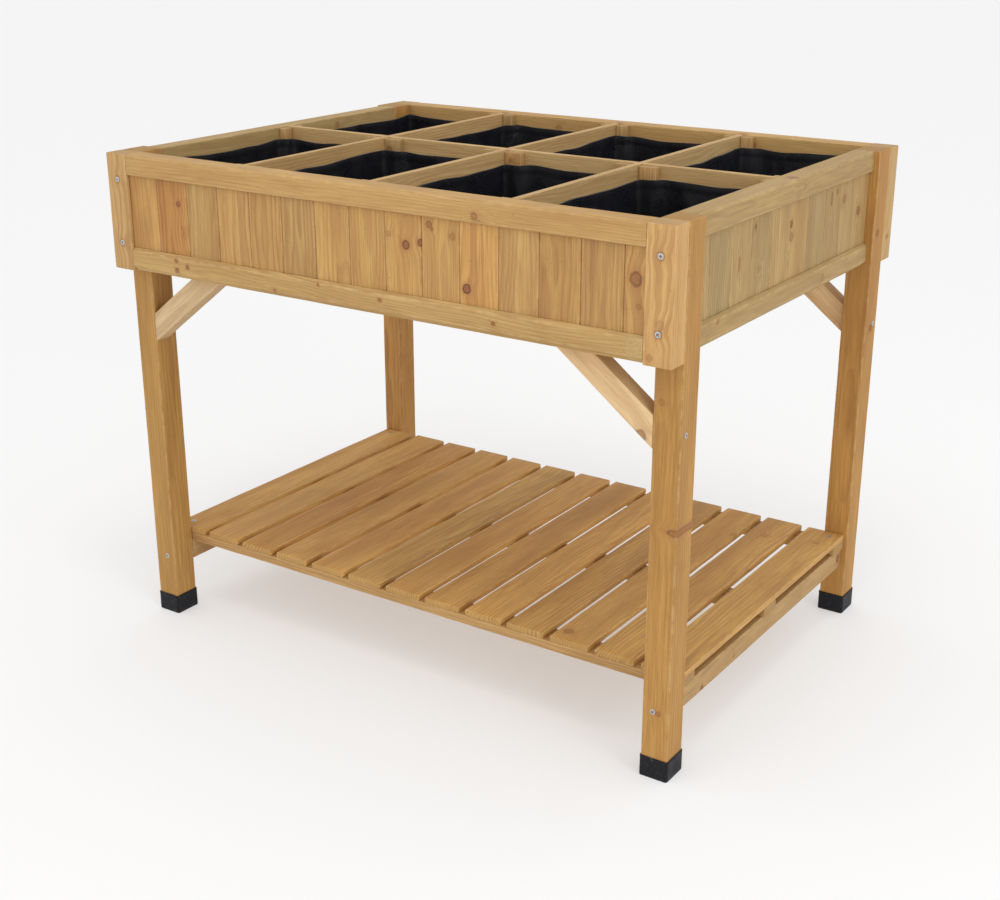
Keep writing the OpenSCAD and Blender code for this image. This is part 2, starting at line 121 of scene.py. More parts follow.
def timber(name, corners, start, end, material, seed, axes="z", origin=(0, 0, 0), body="frame",
           nodes=(), slot="frame_timber", radius=1.8, flaw=0.18, tone=None, cuts=()):
    """A length of timber swept from start to end along the last of its axes.

    The section's corners are in mm across and through the timber. start and end are distances in mm, or
    functions of the section's two coordinates where an end is cut at an angle. Rings lie about 16 mm apart.
    The faces wander by about flaw mm, the ends are eased, and the grain attribute holds each point's place
    in the log. Each of cuts is a run along the piece, from one distance to another, and the function that
    reshapes the outline there. A piece replaces the node of its own name unless other nodes are given.
    """
    rng = np.random.default_rng(seed)
    frame_axes = AXES[axes] if isinstance(axes, str) else np.array(axes, float)
    outline, wear = rounded(corners, radius)
    normal = outward(outline)
    around = len(outline)
    low = start(outline) if callable(start) else np.full(around, float(start))
    high = end(outline) if callable(end) else np.full(around, float(end))
    length = float((high - low).mean())
    ease = min(1.0, radius)
    inner = np.linspace(ease, length - ease, max(3, int(length / 16)))
    t = np.concatenate([[0], [ease * 0.3], inner, [length - ease * 0.3], [length]])
    sides = [place + gap - low[0]
             for first, last, _ in cuts for place in (first, last) for gap in (-0.01, 0.01)]
    t = np.sort(np.concatenate([t, [d for d in sides if 0 < d < length]])) / length
    inset = np.zeros(len(t))
    inset[[0, -1]] = ease
    inset[[1, -2]] = ease * 0.3
    s = low[None, :] + (high - low)[None, :] * t[:, None]
    phase = rng.uniform(0, 6.28, (4, 1, 1))
    turn = np.arange(around)[None, :] / around * 6.28
    wander = sum(
        np.sin(s / reach + phase[k] + turn * (k + 1)) for k, reach in enumerate((90.0, 41.0, 23.0, 12.0))
    )
    shift = wander * flaw * 0.3 - inset[:, None] - flaw * 0.35
    place, facing = np.tile(outline, (len(t), 1, 1)), np.tile(normal, (len(t), 1, 1))
    for first, last, reshape in cuts:
        inside = (s[:, 0] > first) & (s[:, 0] < last)
        place[inside], facing[inside] = reshape(outline), outward(reshape(outline))
    local = np.concatenate([place + facing * shift[..., None], s[..., None]], -1).reshape(-1, 3)
    points = local @ frame_axes + np.array(origin, float)
    middle = outline.mean(0)
    pith = middle + np.array([rng.uniform(-22, 22), rng.choice([-1, 1]) * rng.uniform(26, 60)])
    grain = (local - [pith[0], pith[1], rng.uniform(-900, 900)]) * 0.001
    worn = np.repeat(wear[None, :], len(t), 0)
    worn[[0, 1, -1, -2]] = 1
    cut = np.zeros((len(t), around))
    cut[[0, -1]] = 1
    if tone is None:
        tone = (rng.uniform(-1, 1), rng.uniform(-1, 1))
    look = np.tile([*tone, 0.0], (len(points), 1))
    faces = tube_faces(len(t), around)
    if np.linalg.det(frame_axes) * np.sign(np.cross(outline[0] - middle, outline[1] - middle)) < 0:
        faces = [f[::-1] for f in faces]
    return new_piece(name, points, faces, material, body, nodes or [name], slot,
                     grain=grain, look=look, wear=worn.ravel(), cut=cut.ravel())


def box_section(a0, a1, b0, b1):
    """The four corners of a plain rectangular section."""
    return [(a0, b0), (a1, b0), (a1, b1), (a0, b1)]


def signs(name):
    """The side of the middle that a corner's name puts it on: -1 or 1 along x, and along y."""
    return (-1 if "left" in name else 1), (-1 if "front" in name else 1)


def add(tree, kind, sockets=None, **settings):
    """A shader node with its settings, whose sockets hold a value or are linked to another node's output."""
    made = tree.nodes.new(kind)
    for key, value in settings.items():
        setattr(made, key, value)
    for key, value in (sockets or {}).items():
        if isinstance(value, bpy.types.NodeSocket):
            tree.links.new(value, made.inputs[key])
        else:
            made.inputs[key].default_value = value
    return made


def calc(tree, operation, *values, clamp=False):
    """A maths node, whose inputs are numbers or outputs."""
    sockets = dict(enumerate(values))
    return add(tree, "ShaderNodeMath", sockets, operation=operation, use_clamp=clamp).outputs[0]


def vec(tree, operation, *values, out=0):
    """A vector maths node, whose inputs are vectors or outputs."""
    return add(tree, "ShaderNodeVectorMath", dict(enumerate(values)), operation=operation).outputs[out]


def fade(tree, value, low, high, to_low=0.0, to_high=1.0):
    """Smooth step from to_low to to_high while value goes from low to high."""
    sockets = {"Value": value, "From Min": low, "From Max": high, "To Min": to_low, "To Max": to_high}
    return add(tree, "ShaderNodeMapRange", sockets, interpolation_type="SMOOTHSTEP").outputs["Result"]


def mixed(tree, factor, a, b, blend="MIX"):
    """Colour mix of a and b."""
    made = add(tree, "ShaderNodeMix", data_type="RGBA", blend_type=blend)
    for socket, value in (("Factor_Float", factor), ("A_Color", a), ("B_Color", b)):
        inlet = next(i for i in made.inputs if i.identifier == socket)
        if isinstance(value, bpy.types.NodeSocket):
            tree.links.new(value, inlet)
        else:
            inlet.default_value = value
    return next(o for o in made.outputs if o.identifier == "Result_Color")


def noise(tree, where, scale, detail=2.0, rough=0.5, distort=0.0, out="Fac"):
    """Noise texture at a place."""
    sockets = {"Vector": where, "Scale": scale, "Detail": detail, "Roughness": rough, "Distortion": distort}
    return add(tree, "ShaderNodeTexNoise", sockets).outputs[out]


def new_group(name, inputs, outputs):
    """An empty shader node group with these sockets, and its input and output nodes."""
    tree = bpy.data.node_groups.new(name, "ShaderNodeTree")
    for key, kind in inputs.items():
        tree.interface.new_socket(key, in_out="INPUT", socket_type="NodeSocket" + kind)
    for key, kind in outputs.items():
        tree.interface.new_socket(key, in_out="OUTPUT", socket_type="NodeSocket" + kind)
    return tree, tree.nodes.new("NodeGroupInput").outputs, tree.nodes.new("NodeGroupOutput").inputs


def use(tree, group, sockets):
    """The outputs of a node that runs a group."""
    return add(tree, "ShaderNodeGroup", sockets, node_tree=group).outputs


def new_material(name):
    """An empty material, its node tree, and the output that gives each point's place on the object."""
    mat = bpy.data.materials.new(name)
    mat.use_nodes = True
    mat.node_tree.nodes.clear()
    return mat, mat.node_tree, add(mat.node_tree, "ShaderNodeTexCoord").outputs["Object"]


def attribute(tree, name, out="Fac"):
    """A per-point attribute of the mesh."""
    return add(tree, "ShaderNodeAttribute", attribute_name=name).outputs[out]


def bumped(tree, height, strength, distance, **more):
    """The normal with a height's bumps on it."""
    sockets = {"Height": height, "Strength": strength, "Distance": distance, **more}
    return add(tree, "ShaderNodeBump", sockets).outputs[0]


def finish_material(tree, colour, shine, normal, **more):
    """The material's shader, linked to its output."""
    sockets = {"Base Color": colour, "Roughness": shine, "Normal": normal, **more}
    shader = add(tree, "ShaderNodeBsdfPrincipled", sockets).outputs[0]
    add(tree, "ShaderNodeOutputMaterial", {"Surface": shader})


def make_rings():
    """Growth rings round the pith, which lies along the third axis of the grain.

    Ring number is the distance from the pith over the spacing, pushed about by noise that is stretched
    along the trunk. Late gives the dark late wood, Fibre the fine streaks, and Tone the broad patches.
    """
    g, i, o = new_group("Growth rings", {"Grain": "Vector", "Spacing": "Float", "Wander": "Float"},
                        {"Late": "Float", "Fibre": "Float", "Tone": "Float", "Pore": "Float"})
    slow = vec(g, "MULTIPLY", i["Grain"], (14.0, 14.0, 2.2))
    drift = calc(g, "MULTIPLY", calc(g, "SUBTRACT", noise(g, slow, 1.0, 2.0, 0.5), 0.5), i["Wander"])
    wave = vec(g, "MULTIPLY", i["Grain"], (60.0, 60.0, 9.0))
    ripple = calc(g, "MULTIPLY", calc(g, "SUBTRACT", noise(g, wave, 1.0, 2.0, 0.5), 0.5), 0.9)
    radius = vec(g, "LENGTH", vec(g, "MULTIPLY", i["Grain"], (1.0, 1.0, 0.0)), out=1)
    count = calc(g, "ADD", calc(g, "ADD", calc(g, "DIVIDE", radius, i["Spacing"]), drift), ripple)
    part = calc(g, "FRACT", count)
    rise = fade(g, part, 0.25, 0.86)
    drop = fade(g, part, 0.9, 1.0, 1.0, 0.0)
    band = noise(g, vec(g, "MULTIPLY", i["Grain"], (30.0, 30.0, 1.5)), 1.0, 1.0)
    strength = fade(g, band, 0.3, 0.72, 0.35, 1.0)
    g.links.new(calc(g, "MULTIPLY", calc(g, "MULTIPLY", rise, drop), strength), o["Late"])
    fine = noise(g, vec(g, "MULTIPLY", i["Grain"], (620.0, 620.0, 16.0)), 1.0, 3.0, 0.65)
    g.links.new(fine, o["Fibre"])
    broad = noise(g, vec(g, "MULTIPLY", i["Grain"], (26.0, 26.0, 3.0)), 1.0, 3.0, 0.6, 0.4)
    g.links.new(broad, o["Tone"])
    pore = noise(g, vec(g, "MULTIPLY", i["Grain"], (1500.0, 1500.0, 60.0)), 1.0, 1.0)
    g.links.new(fade(g, pore, 0.62, 0.74), o["Pore"])
    return g


RINGS = make_rings()


def make_knot():
    """One knot: a branch that was cut through, at a place on the object.

    Far is the distance from its middle in knot radii, with a wobbly edge. Core is the branch, Rings its own
    growth rings, Rim the dark bark round it, Halo the resin stain, and Pull how strongly the grain is drawn
    aside.
    """
    g, i, o = new_group("Knot", {"Point": "Vector", "Middle": "Vector", "Reach": "Vector"},
                        {"Core": "Float", "Rim": "Float", "Halo": "Float", "Pull": "Float", "Rings": "Float"})
    away = vec(g, "MULTIPLY", vec(g, "SUBTRACT", i["Point"], i["Middle"]), i["Reach"])
    wobble = calc(g, "MULTIPLY", calc(g, "SUBTRACT", noise(g, i["Point"], 190.0, 2.0), 0.5), 0.55)
    far = calc(g, "ADD", vec(g, "LENGTH", away, out=1), wobble)
    g.links.new(fade(g, far, 0.95, 0.75), o["Core"])
    rim = calc(g, "MULTIPLY", fade(g, far, 0.62, 0.95), fade(g, far, 1.35, 0.98))
    g.links.new(rim, o["Rim"])
    g.links.new(calc(g, "POWER", fade(g, far, 3.6, 0.7), 2.0), o["Halo"])
    g.links.new(calc(g, "POWER", fade(g, far, 5.0, 0.6), 2.0), o["Pull"])
    g.links.new(calc(g, "FRACT", calc(g, "MULTIPLY", far, 2.6)), o["Rings"])
    return g


KNOT = make_knot()


def wood(name, pale, dark, knots=(), spacing=0.0042, wander=9.0, stain=0.0, sawn=None):
    """Material of washed softwood: pale early wood, dark late wood, and knots at given places.

    A knot is (x, y, z, radius, direction it runs in, darkness), with lengths in mm, and an oval one has a
    radius for each axis. A few of those listed are painted shade instead, as marked where they are listed.
    The piece's look attribute shifts its lightness and warmth, its wear attribute rubs the edges paler, both
    as wear and as painted highlight on the eased edges, and cut marks the ends. Past sawn mm along X the
    wood is left pale and rough.
    """
    mat, t, point = new_material(name)
    grain = attribute(t, "grain", "Vector")
    lightness, warmth, _ = add(t, "ShaderNodeSeparateXYZ", {0: attribute(t, "look", "Vector")}).outputs
    wear = attribute(t, "wear")
    cut = attribute(t, "cut")
    found = []
    for x, y, z, radius, along, darkness in knots:
        middle = (x * 0.001, y * 0.001, z * 0.001)
        reach = list(1000.0 / (np.ones(3) * radius))
        reach["xyz".index(along)] = 0.0
        seen = use(t, KNOT, {"Point": point, "Middle": middle, "Reach": reach})
        pull = {0: vec(t, "SUBTRACT", point, middle), "Scale": calc(t, "MULTIPLY", seen["Pull"], 0.5)}
        pulled = add(t, "ShaderNodeVectorMath", pull, operation="SCALE").outputs[0]
        shift = add(t, "ShaderNodeCombineXYZ", {0: vec(t, "LENGTH", pulled, out=1)}).outputs[0]
        grain = vec(t, "ADD", grain, shift)
        found.append((seen, darkness))
    rings = use(t, RINGS, {"Grain": grain, "Spacing": spacing, "Wander": wander})
    tone = fade(t, rings["Tone"], 0.28, 0.74)
    deep = tuple(0.80 * c for c in dark[:3]) + (1.0,)
    colour = mixed(t, calc(t, "MULTIPLY", tone, 0.56), pale, dark)
    colour = mixed(t, calc(t, "MULTIPLY", rings["Late"], 0.70), colour, dark)
    colour = mixed(t, fade(t, rings["Fibre"], 0.40, 0.74, 0.0, 0.52), colour, deep)
    colour = mixed(t, calc(t, "MULTIPLY", rings["Pore"], 0.16), colour, deep)
    light = calc(t, "ADD", calc(t, "MULTIPLY", lightness, 0.095), 0.94)
    warm = calc(t, "MULTIPLY", warmth, 0.055)
    tint = add(t, "ShaderNodeCombineXYZ", {
        0: calc(t, "ADD", light, warm), 1: light, 2: calc(t, "SUBTRACT", light, warm)}).outputs[0]
    colour = mixed(t, 1.0, colour, tint, "MULTIPLY")
    blotch = noise(t, point, 7.0, 4.0, 0.6, 0.6)
    colour = mixed(t, fade(t, blotch, 0.52, 0.80, 0.0, 0.26 + stain), colour, deep)
    for seen, darkness in found:
        heart = mixed(t, seen["Rings"], (0.20, 0.068, 0.024, 1), (0.33, 0.135, 0.048, 1))
        for zone, strength, paint in (
            ("Halo", 0.42, (0.32, 0.105, 0.028, 1)), ("Core", 0.95, heart),
            ("Rim", 0.85, (0.085, 0.026, 0.012, 1))):
            colour = mixed(t, calc(t, "MULTIPLY", seen[zone], strength * darkness), colour, paint)
    # Paler eased edges and ends: partly rubbed wear, partly painted highlight along the edges.
    rub_and_highlight = calc(t, "MULTIPLY", wear, fade(t, noise(t, point, 55.0, 3.0, 0.6), 0.35, 0.7), clamp=True)
    colour = mixed(t, calc(t, "MULTIPLY", rub_and_highlight, 0.30), colour, (0.72, 0.52, 0.27, 1))
    end_pale = tuple(0.64 * c for c in pale[:3]) + (1,)
    end = mixed(t, rings["Late"], end_pale, tuple(0.74 * c for c in dark[:3]) + (1,))
    colour = mixed(t, calc(t, "MULTIPLY", cut, 0.8), colour, end)
    if sawn:
        across = add(t, "ShaderNodeSeparateXYZ", {0: point}).outputs[0]
        beyond = fade(t, across, sawn * 0.001, sawn * 0.001 + 0.0008)
        torn = noise(t, vec(t, "MULTIPLY", point, (900.0, 900.0, 380.0)), 1.0, 3.0, 0.75)
        torn = mixed(t, fade(t, torn, 0.30, 0.72), (0.34, 0.21, 0.075, 1), (0.62, 0.455, 0.20, 1))
        colour = mixed(t, calc(t, "MULTIPLY", beyond, 0.6), colour, torn)
    speck = fade(t, noise(t, point, 330.0, 2.0, 0.5), 0.70, 0.76)
    colour = mixed(t, calc(t, "MULTIPLY", speck, 0.45), colour, (0.11, 0.06, 0.025, 1))
    shine = fade(t, rings["Late"], 0.0, 1.0, 0.66, 0.46)
    shine = calc(t, "ADD", shine, calc(t, "MULTIPLY", rings["Fibre"], 0.12))
    depth = calc(t, "MULTIPLY", rings["Fibre"], 0.55)
    depth = calc(t, "ADD", depth, calc(t, "MULTIPLY", rings["Late"], 0.45))
    depth = calc(t, "SUBTRACT", depth, calc(t, "MULTIPLY", rings["Pore"], 0.3))
    depth = calc(t, "ADD", depth, calc(t, "MULTIPLY", noise(t, point, 900.0, 1.0), 0.22))
    finish_material(t, colour, shine, bumped(t, depth, 0.55, 0.0006), **{"Specular IOR Level": 0.36})
    return mat


HALF_L, HALF_D, RIM = 500.0, 380.0, 800.0
LEG_W, LEG_D, CLEAT_T = 42.0, 45.0, 35.0
LEG_OUT, LEG_IN, PANEL_IN = 345.0, 300.0, 458.0
LEG_EASE, CAP_FLOOR = 2.4, 3
BOX_Z = 617.0
leg_places = {}
leg_looks = {
    "front_left": ((-0.1, 0.0), ()),
    "front_right": ((0.1, 0.5), (
        (500, -345, 381, (14, 14, 4.5), "y", 0.62), (483, -345, 105, 3.5, "y", 0.5),
        (470, -345, 560, 4, "y", 0.3))),
    "back_left": ((-0.5, 1.0), ((-447, 300, 300, 6, "y", 0.8),)),
    "back_right": ((-0.3, 1.0), ((500, 317, 669, 4.5, "x", 0.8), (500, 322, 510, 5, "x", 0.8))),
}
for k, (corner, (tone, knots)) in enumerate(leg_looks.items()):
    sx, sy = signs(corner)
    x0, y0 = (-HALF_L if sx < 0 else PANEL_IN), (-LEG_OUT if sy < 0 else LEG_IN)
    leg_places[corner] = x0, y0
    leg_wood = wood("Leg wood " + corner, (0.56, 0.315, 0.088, 1), (0.34, 0.155, 0.034, 1), knots,
                    0.0048, 7.0)
    timber("leg_" + corner, box_section(x0, x0 + LEG_W, y0, y0 + LEG_D), CAP_FLOOR, RIM, leg_wood, 11 + k,
           radius=LEG_EASE, tone=tone)

# ---------------------------------------------------------------------------------------------
# The foot caps
# Moulded black plastic cups pressed over the feet of the legs, with eased edges and a slight taper.
# They keep the end grain off wet ground, so their lower edges are scuffed.
# ---------------------------------------------------------------------------------------------

CAP_H, CAP_WALL = 33.0, 1.6


def make_plastic():
    """Black moulded plastic with a faint blue cast, moulding grain, dust and pale scuffs near its edges."""
    mat, t, point = new_material("Cap plastic")
    wear = attribute(t, "wear")
    cloud = noise(t, point, 38.0, 4.0, 0.6)
    colour = mixed(t, cloud, (0.0055, 0.0055, 0.008, 1), (0.011, 0.011, 0.015, 1))
    scuff = fade(t, noise(t, vec(t, "MULTIPLY", point, (1.0, 1.0, 0.35)), 150.0, 4.0, 0.7, 1.2), 0.57, 0.72)
    scuff = calc(t, "MULTIPLY", scuff, calc(t, "ADD", calc(t, "MULTIPLY", wear, 0.6), 0.18))
    colour = mixed(t, scuff, colour, (0.10, 0.10, 0.11, 1))
    dust = fade(t, noise(t, point, 420.0, 2.0), 0.64, 0.72)
    colour = mixed(t, calc(t, "MULTIPLY", dust, 0.25), colour, (0.16, 0.155, 0.145, 1))
    shine = fade(t, cloud, 0.3, 0.7, 0.42, 0.60)
    grit = noise(t, point, 1300.0, 2.0)
    height = calc(t, "SUBTRACT", grit, calc(t, "MULTIPLY", scuff, 0.8))
    finish_material(t, colour, shine, bumped(t, height, 0.35, 0.0003), **{"Specular IOR Level": 0.18})
    return mat


PLASTIC = make_plastic()


def foot_cap(name, x0, y0):
    """A cup over a leg's foot: rings up the outside, over the lip, and down the inside to its floor."""
    outside = np.array([
        # height, distance outside the leg's face
        (0.0, CAP_WALL - 1.2), (0.35, CAP_WALL - 0.45), (1.2, CAP_WALL), (8.0, CAP_WALL + 0.05),
        (20.0, CAP_WALL), (CAP_H - 5.0, CAP_WALL - 0.05), (CAP_H - 4.2, CAP_WALL + 0.12),
        (CAP_H - 1.0, CAP_WALL + 0.1), (CAP_H - 0.25, CAP_WALL - 0.25), (CAP_H, CAP_WALL - 0.7),
        (CAP_H - 0.2, 0.35), (CAP_H - 0.8, 0.12), (16.0, 0.1), (2.8, 0.1)])
    wear = np.array([1, 1, 0.8, 0.1, 0, 0.1, 0.6, 0.9, 1, 1, 0.6, 0.2, 0, 0])
    outline, _ = rounded(box_section(x0, x0 + LEG_W, y0, y0 + LEG_D), LEG_EASE)
    normal = outward(outline)
    flat = outline[None] + normal[None] * outside[:, 1][:, None, None]
    height = np.repeat(outside[:, 0][:, None], len(outline), 1)[..., None]
    points = np.concatenate([flat, height], -1).reshape(-1, 3)
    new_piece(name, points, tube_faces(len(outside), len(outline)), PLASTIC, "frame", [name], "foot_cap",
              wear=np.repeat(wear, len(outline)))


for corner, (x0, y0) in leg_places.items():
    foot_cap("foot_cap_" + corner, x0, y0)

# ---------------------------------------------------------------------------------------------
# The corner cleats
# Short upright blocks at the ends of the front and back panels. Each has a stopped groove for the edge
# of its last board and is screwed through into the face of its leg.
# ---------------------------------------------------------------------------------------------

GROOVE = (5.7, 18.3)
CLEAT_SCREWS = (43.0, 142.7)
cleat_knots = {
    "back_cleat_right": ((500, 362, 655, 4, "x", 0.5),),
    "front_cleat_right": ((481, -380, 672, 6, "y", 0.25), (468, -380, 628, 4, "y", 0.3)),
}
cleat_tones = {"front_cleat_left": (-0.2, -0.3), "front_cleat_right": (1.4, 0.2),
               "back_cleat_left": (0.2, 0.4), "back_cleat_right": (-0.4, -0.7)}


def without_groove(outline):
    """The cleat's outline past the ends of its groove: the groove's 28 points lie evenly along the face."""
    plain = outline.copy()
    plain[28:56] = np.linspace(outline[28], outline[55], 28)
    return plain


for k, (name, tone) in enumerate(cleat_tones.items()):
    sx, sy = signs(name)
    # A dark ring in the wood round each cleat screw head, drawn with the knot pattern: partly a stain, partly
    # painted shade under the proud head.
    screw_stain_and_shade = tuple((sx * 479, sy * HALF_D, BOX_Z + up, 5.6, "y", 0.35) for up in CLEAT_SCREWS)
    cleat_wood = wood("Wood " + name, (0.67, 0.425, 0.172, 1), (0.42, 0.215, 0.066, 1),
                      cleat_knots.get(name, ()) + screw_stain_and_shade, 0.0040, 6.0)
    near, far = HALF_D - GROOVE[0], HALF_D - GROOVE[1]
    corners = [(PANEL_IN, LEG_OUT), (HALF_L, LEG_OUT), (HALF_L, HALF_D), (PANEL_IN, HALF_D),
               (PANEL_IN, near), (PANEL_IN + 6, near), (PANEL_IN + 6, far), (PANEL_IN, far)]
    corners = [(x * sx, y * sy) for x, y in corners]
    timber(name, corners, BOX_Z, RIM, cleat_wood, 31 + k, radius=2.2, tone=tone,
           cuts=((BOX_Z - 1, BOX_Z + 29, without_groove), (RIM - 24, RIM + 1, without_groove)))

# ---------------------------------------------------------------------------------------------
# The long rails
# The front and back panels' top and bottom rails run between the cleats. Each is grooved along the
# side that faces the boards. The bottom rails' lower outer edges are bevelled so that rain drips off.
# ---------------------------------------------------------------------------------------------

TOP_H, LOW_H = 32.0, 37.0


def rail_section(outer, inner, low, high, bevel, lip):
    """Section of a grooved rail, across the panel and up.

    outer and inner are the places of its faces, bevel the size of the bevel away from the groove and lip
    that beside the groove. The groove is 8 mm deep in the high side, which is above or below low.
    """
    way = math.copysign(1, inner - outer)
    up = math.copysign(1, high - low)
    near, far = outer + way * GROOVE[0], outer + way * GROOVE[1]
    return [(outer + way * bevel, low), (inner, low), (inner, high), (far, high), (far, high - up * 8),
            (near, high - up * 8), (near, high), (outer + way * lip, high), (outer, high - up * lip),
            (outer, low + up * bevel)]


rail_knots = {
    "front_top_rail": ((200, -380, 778, 4.5, "y", 0.55), (207, -380, 766, 8, "y", 0.2)),
    "front_bottom_rail": (
        (-362, -380, 646, 3.2, "y", 0.8), (-339, -380, 638, 3.0, "y", 0.8),
        (-362, -380, 630, 3.4, "y", 0.8),
        (-161, -380, 626, 2.6, "y", 0.7), (-76, -380, 647, 2.2, "y", 0.7), (37, -380, 641, 2.8, "y", 0.7),
        (230, -380, 636, 2.6, "y", 0.8)),
    "back_top_rail": (
        # The three at z 800, over the divider ends on the rail's top, are not knots: they are painted shade
        # of the gap between each pair of battens.
        (-120, 345, 782, 5, "y", 0.4), (260, 380, 784, 6, "y", 0.6), (-240, 350, 800, (6, 4, 4), "z", 0.8),
        (3, 349, 800, (5, 4, 4), "z", 0.7), (240, 350, 800, (7, 4, 4), "z", 0.8)),
    "back_bottom_rail": ((140, 380, 638, 7, "y", 0.7), (-250, 380, 630, 4, "y", 0.7)),
}
rail_looks = {
    "_top_rail": ((0.60, 0.375, 0.135, 1), (0.40, 0.205, 0.060, 1), 0.0036, 8.0, (0.2, -0.1)),
    "_bottom_rail": ((0.60, 0.385, 0.140, 1), (0.385, 0.205, 0.062, 1), 0.0060, 11.0, (0.3, -0.3)),
}
# Each part of a panel: its outer height, the height of its grooved side, its bevel and its lip.
RAIL_PARTS = {"_top_rail": (RIM, RIM - TOP_H, 2.2, 1.5), "_bottom_rail": (BOX_Z, BOX_Z + LOW_H, 8, 4.7)}
for k, side in enumerate(("front", "back")):
    sy = -1 if side == "front" else 1
    for part, (low, high, bevel, lip) in RAIL_PARTS.items():
        name = side + part
        pale, dark, spacing, wander, tone = rail_looks[part]
        rail_wood = wood("Wood " + name.replace("_", " "), pale, dark, rail_knots[name], spacing, wander,
                         sawn=433 if name == "front_bottom_rail" else None)
        section = rail_section(sy * HALF_D, sy * LEG_OUT, low, high, bevel, lip)
        timber(name, section, -PANEL_IN + 0.15, PANEL_IN - 0.15, rail_wood, 41 + k + 3 * ("bottom" in part),
               axes="x", tone=tone)

# ---------------------------------------------------------------------------------------------
# The front and back boards
# Upright tongue-and-groove boards, slotted into the grooves of the rails and cleats. The joints show
# as fine V grooves. Each board comes from another log, so their tones and figure differ, and some
# hold knots.
# ---------------------------------------------------------------------------------------------

BOARD_T, BOARD_W = 12.0, 63.5
BOARD_Z0, BOARD_Z1 = BOX_Z + LOW_H - 7.7, RIM - TOP_H + 7.7


def board_section(x0, x1, front, way, groove, tongue):
    """Section of a board from x0 to x1, with V-bevelled front edges, a tongue at x1 and a groove at x0."""
    across = math.copysign(1, x1 - x0)
    back = front + way * BOARD_T
    third = BOARD_T / 3
    v, high = 1.3, x1 - across * 0.3
    corners = [(x0 + across * v, front), (high - across * v, front), (high, front + way * v)]
    if tongue:
        corners += [(high, front + way * third), (high + across * 4, front + way * third),
                    (high + across * 4, front + way * 2 * third), (high, front + way * 2 * third)]
    corners += [(high, back - way * v), (high - across * v, back),
                (x0 + across * v, back), (x0, back - way * v)]
    if groove:
        near, far, bed = front + way * (third - 0.3), front + way * (2 * third + 0.3), x0 + across * 4.3
        corners += [(x0, far), (bed, far), (bed, near), (x0, near)]
    corners += [(x0, front + way * v)]
    return corners


board_tones = [(-0.4, 1.0), (-1.3, 2.0), (-0.3, -0.6), (0.5, 0.1), (-0.4, 0.4), (0.2, -0.8), (0.7, 0.2),
               (0.0, 0.4), (0.3, 0.6), (0.3, 0.3), (1.0, 1.1), (0.6, -0.6), (-0.5, 0.5), (0.2, -0.4),
               (0.7, 0.2)]
board_knots = {
    1: ((-355, -374, 733, 3.8, "y", 0.9), (-345, -374, 690, 9, "y", 0.12)),
    8: ((81, -374, 724, 5.6, "y", 0.95), (107, -374, 730, 4.8, "y", 0.95), (51, -374, 736, 4, "y", 0.3)),
    9: ((121, -374, 757, 4.5, "y", 0.6), (126, -374, 751, 2.5, "y", 0.5), (160, -374, 745, 4.5, "y", 0.4)),
    10: ((183, -374, 676, 6.0, "y", 1.0),),
    14: ((442, -374, 725, (7.5, 7.5, 9), "y", 0.68), (447, -374, 690, 3.5, "y", 0.3)),
}
back_knots = {3: ((230, 374, 700, 7, "y", 0.9),), 7: ((-20, 374, 735, 5, "y", 0.9),),
              11: ((-280, 374, 690, 6, "y", 0.8),)}
SPAN = PANEL_IN + 5.7
edges = [-SPAN] + [-SPAN + BOARD_W * (k + 1) for k in range(14)] + [SPAN + 0.3]
for side, sy, knot_map in (("front", -1, board_knots), ("back", 1, back_knots)):
    for k in range(len(edges) - 1):
        label = "%s_board_%02d" % (side, k + 1)
        dark = (0.36, 0.165, 0.050, 1) if k != 1 else (0.33, 0.13, 0.036, 1)
        spacing = (0.0052, 0.0034, 0.0060, 0.0046)[k % 4]
        board_wood = wood("Wood " + label, (0.595, 0.360, 0.118, 1), dark, knot_map.get(k, ()), spacing,
                          (8.0, 5.0, 11.0)[k % 3])
        section = board_section(edges[k], edges[k + 1], sy * (HALF_D - 6), -sy, k > 0, k < len(edges) - 2)
        tone = board_tones[k] if side == "front" else board_tones[-1 - k]
        timber(label, section, BOARD_Z0, BOARD_Z1, board_wood, 100 + k + 40 * (sy > 0),
               nodes=[side + "_boards"], radius=0.7, tone=tone, flaw=0.12)

# ---------------------------------------------------------------------------------------------
# The side rails
# Shorter rails of the same sections, between the legs. They stand a little back from the legs' outer
# faces, and each is held by screws through the legs.
# ---------------------------------------------------------------------------------------------

side_knots = {
    "right_top_rail": ((480, 9, 800, 7, "z", 0.6), (491, 30, 786, 4, "x", 0.25)),
    "right_bottom_rail": ((491, -235, 645, 3, "x", 0.5), (491, 120, 634, 5, "x", 0.3)),
    "left_top_rail": ((-458, 130, 786, 5, "x", 0.4),),
    "left_bottom_rail": ((-491, -60, 636, 6, "x", 0.6),),
}
SIDE_OUT = 491.0
for k, side in enumerate(("left", "right")):
    sx = -1 if side == "left" else 1
    for part, (low, high, bevel, lip) in RAIL_PARTS.items():
        name = side + part
        corners = [(z, x) for x, z in rail_section(sx * SIDE_OUT, sx * PANEL_IN, low, high, bevel, lip)]
        rail_wood = wood("Wood " + name, (0.52, 0.345, 0.135, 1), (0.35, 0.20, 0.066, 1), side_knots[name],
                         0.0050, 10.0)
        timber(name, corners, -LEG_IN + 0.15, LEG_IN - 0.15, rail_wood, 51 + k + 3 * ("bottom" in part),
               axes="y", tone=(0.1, -0.5))

# ---------------------------------------------------------------------------------------------
# The side boards
# The same boards as on the long panels, with a ripped board at each end of the row.
# ---------------------------------------------------------------------------------------------

